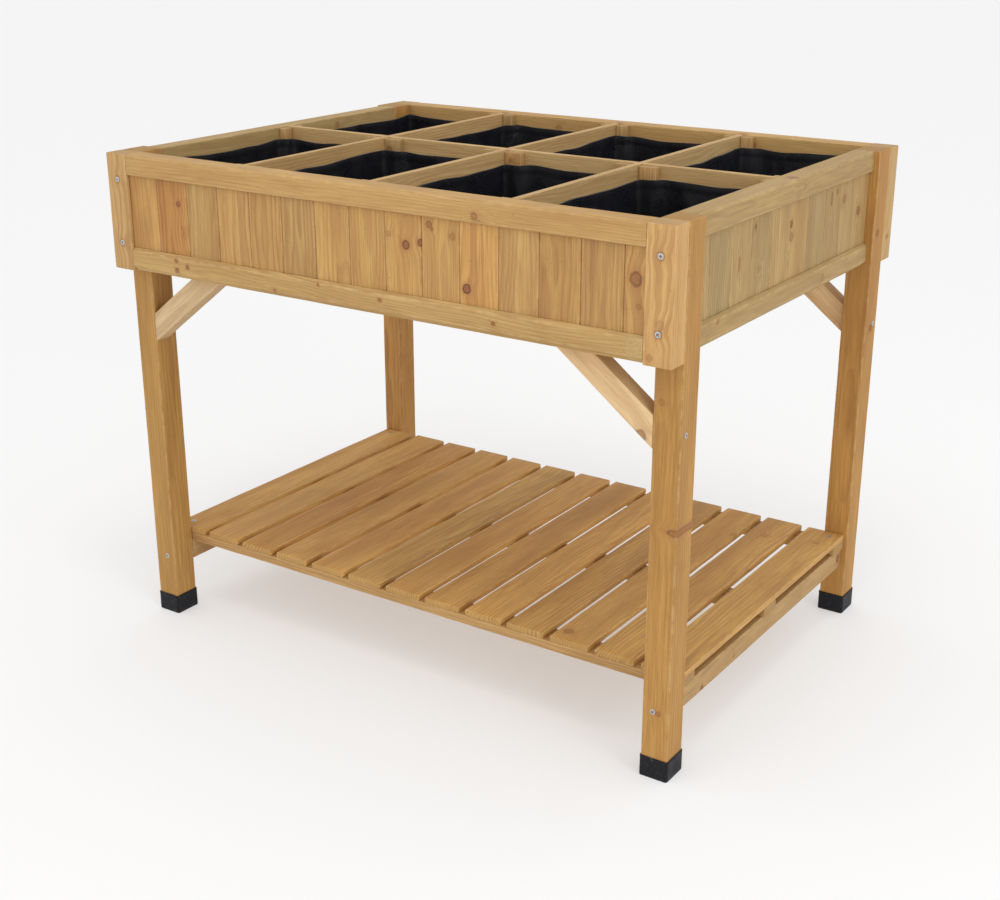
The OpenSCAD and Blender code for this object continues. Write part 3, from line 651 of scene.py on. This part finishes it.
side_board_knots = {
    ("right", 5): ((485, 2, 735, 4.5, "x", 0.95), (485, 6, 716, 6, "x", 0.45)),
    ("right", 3): ((485, -118, 752, 2.6, "x", 0.9), (485, -100, 690, 5, "x", 0.25)),
    ("right", 8): ((485, 200, 740, 6, "x", 0.5), (485, 176, 690, 4, "x", 0.4)),
    ("right", 9): ((485, 262, 712, 6, "x", 0.8),),
    ("right", 7): ((485, 150, 748, (3, 3, 9), "x", 0.6), (485, 170, 756, 3, "x", 0.6)),
    ("right", 2): ((485, -165, 708, (3, 3, 10), "x", 0.45),),
    ("left", 2): ((-485, 150, 720, 6, "x", 0.8),),
    ("left", 6): ((-485, -80, 690, 5, "x", 0.7),),
}
side_tones = [(0.2, -0.4), (-0.6, -1.0), (0.3, -0.2), (-0.2, -0.6), (0.4, 0.1), (0.7, 0.6), (-0.2, -0.6),
              (0.1, -0.2), (-0.4, 0.0), (-0.5, 0.5)]
side_edges = [-LEG_IN + 0.3] + [-BOARD_W * 4 + BOARD_W * k for k in range(9)] + [LEG_IN]
for side, sx in (("right", 1), ("left", -1)):
    for k in range(len(side_edges) - 1):
        label = "%s_board_%02d" % (side, k + 1)
        section = board_section(sx * side_edges[k], sx * side_edges[k + 1], sx * (SIDE_OUT - 6), -sx, k > 0,
                                k < len(side_edges) - 2)
        corners = [(x, y) for y, x in section]
        board_wood = wood("Wood " + label, (0.56, 0.385, 0.155, 1), (0.28, 0.145, 0.044, 1),
                          side_board_knots.get((side, k), ()), (0.0040, 0.0055, 0.0032)[k % 3], 8.0)
        timber(label, corners, BOARD_Z0, BOARD_Z1, board_wood, 200 + k + 30 * (sx > 0),
               nodes=[side + "_boards"], radius=0.7, tone=side_tones[k], flaw=0.12)

# ---------------------------------------------------------------------------------------------
# The braces
# Diagonal struts at the four corners, from the leg's inner face up behind the bottom rail. The foot is
# cut upright to sit against the leg, and the head is cut level under the ledger.
# ---------------------------------------------------------------------------------------------

BRACE_W, BRACE_T, SLOPE = 37.0, 28.0, math.radians(37.5)
FOOT_Z, HEAD_Z = 493.0, 630.0
rise, run = math.sin(SLOPE), math.cos(SLOPE)
brace_knots = {"front_right": ((440, -345, 508, 8, "y", 0.6),), "back_left": ((-400, 345, 560, 6, "y", 0.6),)}
brace_tones = {
    "front_left": (-0.6, 0.0), "front_right": (1.2, 0.6), "back_left": (0.4, 0.4), "back_right": (1.0, 0.8)}
for k, (corner, tone) in enumerate(brace_tones.items()):
    sx, sy = signs(corner)
    axes = [(sx * rise, 0, run), (0, 1, 0), (-sx * run, 0, rise)]
    y0 = -LEG_OUT if sy < 0 else LEG_OUT - BRACE_T
    origin = (sx * (PANEL_IN - 0.1), 0, FOOT_Z)
    section = box_section(0, BRACE_W, y0, y0 + BRACE_T)
    brace_wood = wood("Brace wood " + corner, (0.76, 0.56, 0.315, 1), (0.52, 0.325, 0.150, 1),
                      brace_knots.get(corner, ()), 0.0055, 8.0)
    # Across the brace, the leg's face lies at across * tan(slope), and the head's level at the far end.
    timber("brace_" + corner, section, lambda p: p[:, 0] * rise / run,
           lambda p: (HEAD_Z - FOOT_Z - p[:, 0] * run) / rise, brace_wood, 61 + k, axes=axes, origin=origin,
           radius=2.0, tone=tone)

# ---------------------------------------------------------------------------------------------
# The shelf
# Two rails between the legs carry three flat bearers and thirteen slats. The outer slats are screwed
# down and the others from below. The timber is planed, eased, browner than the box and stained by pots,
# and the slats' colours are raised above the wood's own as painted light against the box's shade.
# ---------------------------------------------------------------------------------------------

SHELF_TOP, SLAT_T, SLAT_W, BEARER_T, BEARER_W = 148.0, 10.0, 65.0, 15.0, 42.0
SHELF_HALF, SLAT_HALF, RAIL_H, BEARER_Y, SLATS = 494.0, 299.0, 34.0, 278.0, 13
# The slats' colours sit well above the wood's own: painted light that makes up for the shade the box casts on
# the shelf.
BROWN_PALE_PAINTED_LIGHT, BROWN_DARK_PAINTED_LIGHT = (0.74, 0.435, 0.128, 1), (0.40, 0.185, 0.046, 1)
bearer_z = SHELF_TOP - SLAT_T - BEARER_T
shelf_knots = {
    "shelf_rail_right": (
        (491, -226, 92, 4.5, "x", 0.9), (491, 286, 108, 6, "x", 0.8), (491, -120, 100, 3, "x", 0.4)),
    "shelf_rail_left": ((-491, 90, 104, 5, "x", 0.8),),
}
for k, side in enumerate(("left", "right")):
    sx = -1 if side == "left" else 1
    name = "shelf_rail_" + side
    x0, x1 = sorted((sx * SIDE_OUT, sx * PANEL_IN))
    rail_wood = wood("Wood " + name, (0.56, 0.355, 0.145, 1), (0.35, 0.18, 0.060, 1), shelf_knots[name])
    timber(name, box_section(bearer_z - RAIL_H, bearer_z, x0, x1), -LEG_IN + 0.15, LEG_IN - 0.15, rail_wood,
           71 + k, axes="y", slot="shelf_timber", radius=2.2, tone=(0.1, -0.2))
bearer_wood = wood("Shelf bearer wood", (0.60, 0.365, 0.140, 1), (0.36, 0.180, 0.055, 1))
for k, (name, y) in enumerate((("front", -BEARER_Y), ("middle", 0.0), ("back", BEARER_Y))):
    section = box_section(y - BEARER_W / 2, y + BEARER_W / 2, bearer_z, bearer_z + BEARER_T)
    timber("shelf_bearer_" + name, section, -SHELF_HALF, SHELF_HALF, bearer_wood, 74 + k, axes="x",
           slot="shelf_timber", tone=(0.0, 0.0))
slat_tones = [(0.6, -0.2), (0.3, -0.1), (-1.0, 1.2), (0.3, 0.0), (0.6, 0.3), (0.2, -0.9), (0.6, 0.2),
              (-0.4, 0.5), (0.7, 0.4), (-1.0, 0.3), (-0.4, 0.4), (0.1, 0.1), (0.7, -0.5)]
slat_knots = {
    10: ((292, -272, 148, 7, "z", 0.45), (337, 194, 148, 6, "z", 0.25)),
    11: ((330, -280, 148, 6, "z", 0.95), (383, 220, 148, 6, "z", 0.25)),
    12: ((467, 240, 148, 4, "z", 0.3),),
    2: ((-374, 30, 148, 2.5, "z", 0.8),),
}
pitch = (2 * SHELF_HALF - SLAT_W) / (SLATS - 1)
for k in range(SLATS):
    x0 = -SHELF_HALF + pitch * k
    slat_wood = wood("Slat wood %02d" % (k + 1), BROWN_PALE_PAINTED_LIGHT, BROWN_DARK_PAINTED_LIGHT, slat_knots.get(k, ()),
                     (0.0055, 0.0038, 0.0070)[k % 3], (7.0, 12.0, 9.0)[k % 3], stain=0.06)
    section = box_section(SHELF_TOP - SLAT_T, SHELF_TOP, x0, x0 + SLAT_W)
    timber("shelf_slat_%02d" % (k + 1), section, -SLAT_HALF, SLAT_HALF, slat_wood, 80 + k, axes="y",
           nodes=["shelf_slats"], slot="shelf_timber", radius=2.0, tone=slat_tones[k], flaw=0.25)

# ---------------------------------------------------------------------------------------------
# The floor of the box
# Ledgers along the insides of the bottom rails and a bearer under the middle carry plain slats, with
# gaps between them for drainage.
# ---------------------------------------------------------------------------------------------

LEDGER, LEDGER_Z, FLOOR_SLAT_T, FLOOR_SLAT_W, DRAIN_GAP = 20.0, 630.0, 10.0, 70.0, 13
floor_z = LEDGER_Z + LEDGER
floor_top = floor_z + FLOOR_SLAT_T
plain_wood = wood("Floor wood", (0.62, 0.42, 0.20, 1), (0.42, 0.24, 0.10, 1), spacing=0.005, wander=10.0)
for k, side in enumerate(("front", "back")):
    y0, y1 = (-LEG_OUT, -LEG_OUT + LEDGER) if side == "front" else (LEG_OUT - LEDGER, LEG_OUT)
    timber("floor_ledger_" + side, box_section(y0, y1, LEDGER_Z, floor_z), -PANEL_IN + 0.2, PANEL_IN - 0.2,
           plain_wood, 300 + k, axes="x", radius=1.5)
timber("floor_bearer", box_section(-15, 15, BOX_Z, floor_z), -PANEL_IN + 0.2, PANEL_IN - 0.2, plain_wood, 303,
       axes="x")
floor_span = 2 * (PANEL_IN - 1)
floor_count = round((floor_span + DRAIN_GAP) / (FLOOR_SLAT_W + DRAIN_GAP))
floor_pitch = (floor_span - FLOOR_SLAT_W) / (floor_count - 1)
for k in range(floor_count):
    x0 = -floor_span / 2 + floor_pitch * k
    timber("floor_slat_%02d" % (k + 1), box_section(floor_z, floor_top, x0, x0 + FLOOR_SLAT_W), -LEG_OUT + 1,
           LEG_OUT - 1, plain_wood, 310 + k, axes="y", nodes=["floor_slats"], radius=1.5, flaw=0.2)

# ---------------------------------------------------------------------------------------------
# The guide battens
# Pairs of upright battens on the inside of the panels, one on each side of a divider's end.
# ---------------------------------------------------------------------------------------------

DIVIDER_T, GUIDE_D, GUIDE_W, BLOCK_W = 10.0, 12.0, 20.0, 30.0
CROSS_X = (-0.522 * PANEL_IN, 0.0, 0.522 * PANEL_IN)
GUIDE_TOP = RIM - 2.0
guide_off = DIVIDER_T / 2 + 0.4
guide_wood = wood("Guide wood", (0.60, 0.39, 0.16, 1), (0.36, 0.185, 0.062, 1), spacing=0.0042, wander=5.0)
places = []
for sy in (-1, 1):
    y0 = -LEG_OUT if sy < 0 else LEG_OUT - GUIDE_D
    for x in CROSS_X:
        places += [(x - guide_off - GUIDE_W, y0, GUIDE_W, GUIDE_D), (x + guide_off, y0, GUIDE_W, GUIDE_D)]
for sx in (-1, 1):
    x0 = -PANEL_IN if sx < 0 else PANEL_IN - GUIDE_D
    places += [(x0, -guide_off - GUIDE_W, GUIDE_D, GUIDE_W), (x0, guide_off, GUIDE_D, GUIDE_W)]
for k, (x, y, w, d) in enumerate(places):
    timber("panel_guide_%02d" % (k + 1), box_section(x, x + w, y, y + d), floor_top, GUIDE_TOP, guide_wood,
           330 + k, nodes=["panel_guides"], radius=1.4)

# ---------------------------------------------------------------------------------------------
# The dividers
# One long divider and three cross dividers of thin planed board, half-lapped where they cross, with
# guide blocks glued to the long one in the corners of each crossing.
# ---------------------------------------------------------------------------------------------

DIVIDER_Z = floor_top + 0.3
DIVIDER_H = RIM - DIVIDER_Z
PALE_CREAM, PALE_DARK = (0.62, 0.42, 0.185, 1), (0.42, 0.235, 0.080, 1)


def squeezed(axis, low, high):
    """A function that squeezes an outline's heights, which lie along its axis 0 or 1, into low to high."""
    def reshape(outline):
        made = outline.copy()
        made[:, axis] = low + (made[:, axis] - DIVIDER_Z) / DIVIDER_H * (high - low)
        return made
    return reshape


half_lap = DIVIDER_Z + DIVIDER_H / 2
slot_half = DIVIDER_T / 2 + 0.4
long_wood = wood("Long divider wood", PALE_CREAM, PALE_DARK, ((-60, 0, 776, 4, "y", 0.4),), 0.0048, 9.0)
timber("long_divider", box_section(-DIVIDER_T / 2, DIVIDER_T / 2, DIVIDER_Z, RIM), -PANEL_IN + 0.4,
       PANEL_IN - 0.4, long_wood, 360, axes="x", body="long_divider", slot="divider_timber", radius=1.0,
       tone=(0.3, 0.1), flaw=0.0,
       cuts=[(x - slot_half, x + slot_half, squeezed(1, DIVIDER_Z, half_lap)) for x in CROSS_X])
cross_knots = ((), ((0, 45, 778, 7, "x", 0.9), (0, 60, 770, 4, "x", 0.6)), ((239, -120, 762, 4, "x", 0.4),))
cross_tones = ((0.2, 0.3), (0.4, 0.1), (0.1, -0.2))
for k, x in enumerate(CROSS_X):
    name = "cross_divider_%d" % (k + 1)
    cross_wood = wood("Wood " + name, PALE_CREAM, PALE_DARK, cross_knots[k], 0.0044, 8.0)
    timber(name, box_section(DIVIDER_Z, RIM, x - DIVIDER_T / 2, x + DIVIDER_T / 2), -LEG_OUT + 0.4,
           LEG_OUT - 0.4, cross_wood, 361 + k, axes="y", body=name, slot="divider_timber", radius=1.0,
           tone=cross_tones[k], flaw=0.0, cuts=[(-slot_half, slot_half, squeezed(0, half_lap + 0.3, RIM))])
block_knots = ((-224, -5, 781, 5, "y", 0.6), (16, -5, 785, 3, "y", 0.4))
block_wood = wood("Crossing block wood", (0.57, 0.36, 0.145, 1), (0.345, 0.175, 0.058, 1), block_knots,
                  0.0032, 5.0)
for k, x in enumerate(CROSS_X):
    for j, (side, sy) in enumerate(((-1, -1), (1, -1), (-1, 1), (1, 1))):
        x0 = x - guide_off - BLOCK_W if side < 0 else x + guide_off
        y0 = -DIVIDER_T / 2 - GUIDE_D - 0.15 if sy < 0 else DIVIDER_T / 2 + 0.15
        section = box_section(x0, x0 + BLOCK_W, y0, y0 + GUIDE_D)
        timber("crossing_block_%d%s" % (k + 1, "abcd"[j]), section, DIVIDER_Z, GUIDE_TOP, block_wood,
               370 + 4 * k + j, body="long_divider", nodes=["crossing_blocks"], slot="divider_timber",
               radius=1.6)

# ---------------------------------------------------------------------------------------------
# The pockets
# Eight bags of thin black non-woven cloth, one in each cell. They stand on the floor slats and lean on
# the timber, so the cloth is pushed in over the battens and blocks, and the hemmed rims hang in waves.
# ---------------------------------------------------------------------------------------------

POCKET_GAP, CLOTH_T, RIM_DROP = 1.5, 1.1, 20.0


def make_cloth():
    """Black non-woven cloth: pressed fibres with a fine dimpled grid, a soft sheen, folds and lint."""
    mat, t, point = new_material("Pocket cloth")
    cloth = attribute(t, "cloth", "Vector")
    hem = attribute(t, "hem")
    cloud = noise(t, point, 24.0, 4.0, 0.6, 0.5)
    colour = mixed(t, cloud, (0.0030, 0.0030, 0.0045, 1), (0.0060, 0.0062, 0.0090, 1))
    fibres = noise(t, point, 900.0, 3.0, 0.7, 1.5)
    colour = mixed(t, fade(t, fibres, 0.5, 0.8, 0.0, 0.3), colour, (0.020, 0.021, 0.028, 1))
    lint = fade(t, noise(t, point, 260.0, 2.0, 0.5), 0.72, 0.77)
    colour = mixed(t, calc(t, "MULTIPLY", lint, 0.25), colour, (0.12, 0.11, 0.10, 1))
    grid = vec(t, "SINE", vec(t, "MULTIPLY", cloth, (2600.0, 2600.0, 0.0)))
    cells = add(t, "ShaderNodeSeparateXYZ", {0: grid}).outputs
    dimple = calc(t, "MULTIPLY", cells[0], cells[1])
    stitch = calc(t, "MULTIPLY", hem, fade(t, cells[0], 0.2, 0.8))
    height = calc(t, "ADD", calc(t, "MULTIPLY", dimple, 0.35), calc(t, "MULTIPLY", fibres, 0.6))
    height = calc(t, "SUBTRACT", height, calc(t, "MULTIPLY", stitch, 0.9))
    folds = noise(t, vec(t, "MULTIPLY", point, (26.0, 26.0, 6.0)), 1.0, 2.0, 0.5, 0.5)
    bump = bumped(t, folds, 0.35, 0.006, Normal=bumped(t, height, 0.5, 0.0004))
    shine = fade(t, cloud, 0.3, 0.7, 0.24, 0.38)
    finish_material(t, colour, shine, bump, **{
        "Specular IOR Level": 0.6, "Sheen Weight": 0.06, "Sheen Roughness": 0.5,
        "Sheen Tint": (0.55, 0.60, 0.80, 1)})
    return mat


CLOTH = make_cloth()


def pocket_path(i, sy, grow):
    """Plan outline of a pocket, anticlockwise, stepping in round the batten or block in each corner."""
    x0 = (-PANEL_IN if i == 0 else CROSS_X[i - 1] + DIVIDER_T / 2) + grow
    x1 = (PANEL_IN if i == 3 else CROSS_X[i] - DIVIDER_T / 2) - grow
    y0, y1 = -LEG_OUT + grow, -DIVIDER_T / 2 - grow
    # The smoothing that follows rounds the steps towards the timber, so they start 3 mm further off.
    wide, deep = 3.4, GUIDE_D + 3
    batten, block, side_batten = (wide + GUIDE_W, deep), (wide + BLOCK_W, deep), (deep, wide + GUIDE_W)
    steps = [
        (x0, y0, 1, 1, None if i == 0 else batten), (x1, y0, -1, 1, None if i == 3 else batten),
        (x1, y1, -1, -1, side_batten if i == 3 else block), (x0, y1, 1, -1, side_batten if i == 0 else block)]
    path = []
    for k, (x, y, ax, ay, notch) in enumerate(steps):
        if notch is None:
            path.append((x, y))
        else:
            turn = [(x, y + ay * notch[1]), (x + ax * notch[0], y + ay * notch[1]), (x + ax * notch[0], y)]
            path += turn if k % 2 == 0 else turn[::-1]
    path = np.array(path)
    return path if sy < 0 else path[::-1] * [1, -1]


def even_steps(path, count):
    """count points spaced evenly round a closed path, and how far round each is in mm."""
    loop = np.vstack([path, path[:1]])
    reach = np.concatenate([[0], np.cumsum(np.linalg.norm(np.diff(loop, axis=0), axis=1))])
    at = np.linspace(0, reach[-1], count, endpoint=False)
    return np.stack([np.interp(at, reach, loop[:, k]) for k in (0, 1)], 1), at, reach[-1]


def smooth_loop(values, passes):
    """Averages each point of a closed loop with its two neighbours, several times over."""
    for _ in range(passes):
        values = 0.5 * values + 0.25 * (np.roll(values, 1, 0) + np.roll(values, -1, 0))
    return values


def pocket(i, sy):
    """A pocket: an outer skin up the walls, a hem over the rim, and an inner skin down to the floor's middle.

    The walls stand off the cell by the gap, soften at the corners as thin cloth does, and ripple. The rim
    rises at the corners and sags between them.
    """
    name = "pocket_%s_%d" % ("front" if sy < 0 else "back", i + 1)
    rng = np.random.default_rng(400 + i + 10 * (sy > 0))
    around, rows, floors = 300, 34, 12
    path, at, girth = even_steps(pocket_path(i, sy, POCKET_GAP + 0.2), around)
    plan = smooth_loop(path, 14)
    middle = plan.mean(0)
    normal = outward(plan)
    turn = at / girth * 2 * math.pi
    waves = ((2, 1.0), (5, 1.1), (9, 0.6), (15, 0.35))
    wave = sum(a * np.sin(turn * n + rng.uniform(0, 6.28)) for n, a in waves)
    corner = np.abs(np.abs(plan - middle) / np.abs(plan - middle).max(0)).min(1)
    top = RIM - RIM_DROP - 2.6 + wave + 4.2 * corner**3
    up = np.linspace(0, 1, rows) ** 0.9
    z = DIVIDER_Z + 0.6 + up[:, None] * (top - DIVIDER_Z - 0.6)[None]
    lean = sum(
        a * np.sin(
            turn[None] * n + rng.uniform(0, 6.28) + 1.3 * np.sin(up[:, None] * 3 + rng.uniform(0, 6.28)))
        for n, a in ((9, 0.5), (16, 0.35), (29, 0.15)))
    slack = up * (1 - 0.35 * up)
    inward = (1.15 + lean) * slack[:, None] + 0.5
    crease = np.zeros_like(inward)
    for _ in range(9):
        where, slope, size = rng.uniform(0, 6.28), rng.uniform(-0.5, 0.5), rng.uniform(0.4, 1.1)
        gap = (turn[None] - where - slope * (up[:, None] - 0.5) + math.pi) % (2 * math.pi) - math.pi
        crease += size * np.exp(-((gap / 0.035) ** 2)) * np.sin(up[:, None] * math.pi)
    inward = np.clip(inward + crease, 0.15, 6)
    wall = plan[None] - normal[None] * inward[..., None]
    hem = np.clip((up - 0.90) / 0.03, 0, 1)[:, None] * np.ones(around)[None]
    thick = CLOTH_T * (1 + 0.7 * hem)
    skin = np.concatenate([wall, z[..., None]], -1)
    inner_wall = wall - normal[None] * thick[..., None]
    inner = np.concatenate([inner_wall, z[..., None]], -1)
    lip = 0.5 * (skin[-1] + inner[-1]) + [0, 0, 0.7]
    shrink = np.append(0.992, np.linspace(1, 0.02, floors)[1:])
    rings, cloth, hems = [], [], []

    def keep(points, across, value):
        rings.append(points)
        weave = points[:, :2] if across is None else np.stack([at, np.full(around, across)], -1)
        cloth.append(np.column_stack([weave * 0.001, np.zeros(around)]))
        hems.append(np.full(around, value) if np.isscalar(value) else value)

    for s in shrink[::-1]:
        flat = middle + (skin[0][:, :2] - middle) * s
        keep(np.column_stack([flat, np.full(around, DIVIDER_Z + 0.15)]), None, 0.0)
    for k in range(rows):
        keep(skin[k], up[k] * 120, hem[k])
    keep(lip, 121, 1.0)
    for k in range(rows)[::-1]:
        keep(inner[k] + [0, 0, CLOTH_T * (k == 0)], 122 + (1 - up[k]) * 120, hem[k])
    for s in shrink:
        flat = middle + (inner[0][:, :2] - middle) * s
        sag = 0.5 * np.sin(flat[:, 0] / 17) * np.sin(flat[:, 1] / 23) * (1 - s)
        keep(np.column_stack([flat, DIVIDER_Z + 0.15 + CLOTH_T + 0.6 + sag]), None, 0.0)
    points = np.concatenate(rings)
    piece = new_piece(name, points, tube_faces(len(rings), around), CLOTH, name, [name], "pocket_cloth",
                      cloth=np.concatenate(cloth), hem=np.concatenate(hems))
    wide, deep = np.ptp(plan[:, 0]) * 0.001, np.ptp(plan[:, 1]) * 0.001


for sy in (-1, 1):
    for i in range(4):
        pocket(i, sy)

# ---------------------------------------------------------------------------------------------
# The screws
# Zinc plated, with round-edged flat heads and cross recesses, driven flush. They hold the cleats, the
# braces, the shelf and the floor.
# ---------------------------------------------------------------------------------------------


def make_zinc():
    """Bright zinc plate with turned marks, dull patches, and its cross recess painted near black as shade."""
    mat, t, point = new_material("Zinc screw")
    # The screws' wear attribute holds the cross recess mask, which is painted near black as shade.
    recess_shade = attribute(t, "wear")
    cloud = noise(t, point, 300.0, 3.0, 0.6)
    colour = mixed(t, cloud, (0.36, 0.37, 0.39, 1), (0.62, 0.63, 0.65, 1))
    colour = mixed(t, recess_shade, colour, (0.035, 0.032, 0.03, 1))
    spot = fade(t, noise(t, point, 700.0, 2.0), 0.62, 0.72)
    colour = mixed(t, calc(t, "MULTIPLY", spot, 0.5), colour, (0.16, 0.10, 0.055, 1))
    shine = fade(t, cloud, 0.3, 0.75, 0.28, 0.5)
    grit = noise(t, point, 1800.0, 2.0)
    finish_material(t, colour, shine, bumped(t, grit, 0.3, 0.0002), Metallic=0.85)
    return mat


ZINC = make_zinc()
HEAD_R, HEAD_H, SHANK_R, PROUD = 4.3, 2.2, 2.0, 0.7


def screw_shape(length):
    """Points, faces and recess mask of one screw along +Z, its head's face at 0.

    The rings run from the middle of the face out over the edge, back under the head and down the shank,
    which narrows to a point and carries a thread wave. The face dips in a cross, and the recess mask marks
    that cross for the painted shade.
    """
    around = 32
    turn = np.linspace(0, 2 * math.pi, around, endpoint=False)
    face = np.linspace(0.12, 1, 9)
    radius = list(face * (HEAD_R - 0.35)) + [HEAD_R - 0.08, HEAD_R, HEAD_R, HEAD_R - 0.1, SHANK_R + 0.05]
    height = list(0.20 * face**2) + [0.34, 0.60, HEAD_H - 0.25, HEAD_H - 0.02, HEAD_H]
    down = np.linspace(HEAD_H + 2, length - 3, 22)
    radius += list(SHANK_R - 0.25 + 0.25 * np.cos(down * 2.4)) + [SHANK_R * 0.7, 0.1]
    height += list(down) + [length - 1.6, length]
    radius, height = np.array(radius), np.array(height)
    r, h = radius[:, None], np.repeat(height[:, None], around, 1)
    x, y = r * np.cos(turn), r * np.sin(turn)
    arm = (np.abs(x) < 0.62) & (np.abs(y) < 2.3) | (np.abs(y) < 0.62) & (np.abs(x) < 2.3)
    on_face = np.arange(len(radius))[:, None] < len(face)
    dip = np.where(arm & on_face, 1.0, 0.0)
    return np.stack([x, y, h + dip], -1).reshape(-1, 3), tube_faces(len(radius), around), dip.ravel()


def screw_set(name, places):
    """All the screws of one kind as one piece: each place is a point, the way it points and a length."""
    points, faces, recess_shade_masks, count = [], [], [], 0
    for k, (at, way, length) in enumerate(places):
        shape, shape_faces, mask = screw_shape(length)
        shape[:, 2] -= PROUD
        spin = 0.7 + 2.399 * k
        way = np.array(way, float)
        side = np.array([way[1], way[2], way[0]])
        other = np.cross(way, side)
        turned = np.stack([math.cos(spin) * side + math.sin(spin) * other,
                           -math.sin(spin) * side + math.cos(spin) * other, way])
        points.append(shape @ turned + np.array(at, float))
        faces += [[v + count for v in f] for f in shape_faces]
        recess_shade_masks.append(mask)
        count += len(shape)
    # The recess masks go in as the wear attribute, where the zinc paints the recess as shade.
    new_piece(name, np.concatenate(points), [f[::-1] for f in faces], ZINC, "frame", [name], "screw",
              wear=np.concatenate(recess_shade_masks))


leg_mid, rail_mid = 479.0, 474.5
inward_y = {-1: (0, 1, 0), 1: (0, -1, 0)}
inward_x = {-1: (1, 0, 0), 1: (-1, 0, 0)}
screw_set("cleat_screws", [
    ((sx * leg_mid, sy * HALF_D, BOX_Z + up), inward_y[sy], 60)
    for sx in (-1, 1) for sy in (-1, 1) for up in CLEAT_SCREWS])
screw_set("leg_screws", [
    ((sx * rail_mid, sy * LEG_OUT, z), inward_y[sy], 80)
    for sx in (-1, 1) for sy in (-1, 1) for z in (106.0, BOX_Z + LOW_H / 2, RIM - TOP_H / 2)])
brace_cut = BRACE_W / math.cos(SLOPE)
brace_up = 6.5
brace_x = PANEL_IN - (124 + brace_up - brace_cut / 2) / math.tan(SLOPE)
screw_set("brace_screws", [
    ((sx * HALF_L, sy * (LEG_OUT - BRACE_T / 2), FOOT_Z + brace_cut / 2), inward_x[sx], 64)
    for sx in (-1, 1) for sy in (-1, 1)] + [
    ((sx * brace_x, sy * (LEG_OUT - BRACE_T), BOX_Z + brace_up), inward_y[-sy], 48)
    for sx in (-1, 1) for sy in (-1, 1)])
screw_set("shelf_corner_screws", [
    ((sx * rail_mid, y, SHELF_TOP), (0, 0, -1), 35) for sx in (-1, 1) for y in (-BEARER_Y, BEARER_Y)])
screw_set("shelf_slat_screws", [
    ((-SHELF_HALF + pitch * k + SLAT_W / 2, y, bearer_z), (0, 0, 1), 22)
    for k in range(1, SLATS - 1) for y in (-BEARER_Y, 0, BEARER_Y)])
screw_set("floor_screws", [
    ((-floor_span / 2 + floor_pitch * k + FLOOR_SLAT_W / 2, y * (LEG_OUT - LEDGER / 2), floor_top),
     (0, 0, -1), 25)
    for k in range(floor_count) for y in (-1, 0, 1)] + [
    ((fx * PANEL_IN, sy * (LEG_OUT - LEDGER), LEDGER_Z + LEDGER / 2), inward_y[-sy], 38)
    for fx in (-0.8, -0.25, 0.25, 0.8) for sy in (-1, 1)])

# ---------------------------------------------------------------------------------------------
# The studio
# A plain pale floor under a bright even sky, a large soft lamp high on the right of the viewer, and a
# weaker one on the left. The camera stands a little above the rim, off the right front corner.
# ---------------------------------------------------------------------------------------------

scene = bpy.context.scene
floor_mesh = bpy.data.meshes.new("floor")
reach = 30.0
floor_mesh.from_pydata([(-reach, -reach, 0), (reach, -reach, 0), (reach, reach, 0), (-reach, reach, 0)], [],
                       [(0, 1, 2, 3)])
floor = bpy.data.objects.new("floor", floor_mesh)
scene.collection.objects.link(floor)
pale = bpy.data.materials.new("Pale floor")
pale.use_nodes = True
for key, value in (
    ("Base Color", (0.55, 0.55, 0.55, 1)), ("Emission Color", (1, 1, 1, 1)), ("Emission Strength", 0.385),
    ("Specular IOR Level", 0.1), ("Roughness", 0.9)):
    pale.node_tree.nodes["Principled BSDF"].inputs[key].default_value = value
floor_mesh.materials.append(pale)

world = bpy.data.worlds.new("Studio")
scene.world = world
world.use_nodes = True
sky = world.node_tree.nodes["Background"].inputs
sky["Color"].default_value = (1.0, 1.0, 1.0, 1)
sky["Strength"].default_value = 0.93


def lamp(name, place, target, size, power, colour=(1, 1, 1)):
    """A square soft lamp at a place, aimed at a target."""
    data = bpy.data.lights.new(name, "AREA")
    data.shape = "SQUARE"
    data.size, data.energy, data.color = size, power, colour
    made = bpy.data.objects.new(name, data)
    made.location = place
    made.rotation_euler = (Vector(target) - Vector(place)).to_track_quat("-Z", "Y").to_euler()
    scene.collection.objects.link(made)


lamp("Key", (4.2, -1.6, 2.0), (0, 0, 0.5), 1.6, 34, (0.96, 0.98, 1.0))
lamp("Fill", (-1.6, -4.2, 1.2), (0, 0, 0.4), 2.5, 16)
lamp("Top", (0.6, -1.2, 3.6), (0, 0, 0.7), 1.2, 16)

camera_data = bpy.data.cameras.new("Camera")
camera_data.sensor_width = 36
camera_data.lens = 54.1
camera = bpy.data.objects.new("Camera", camera_data)
scene.collection.objects.link(camera)
yaw, pitch_down = math.radians(34.0), math.radians(-20.2)
level = math.cos(pitch_down)
aim = Vector((-math.sin(yaw) * level, math.cos(yaw) * level, math.sin(pitch_down)))
camera.location = (1.328, -1.991, 1.173)
camera.rotation_euler = aim.to_track_quat("-Z", "Y").to_euler()
scene.camera = camera
scene.view_settings.view_transform = "Standard"
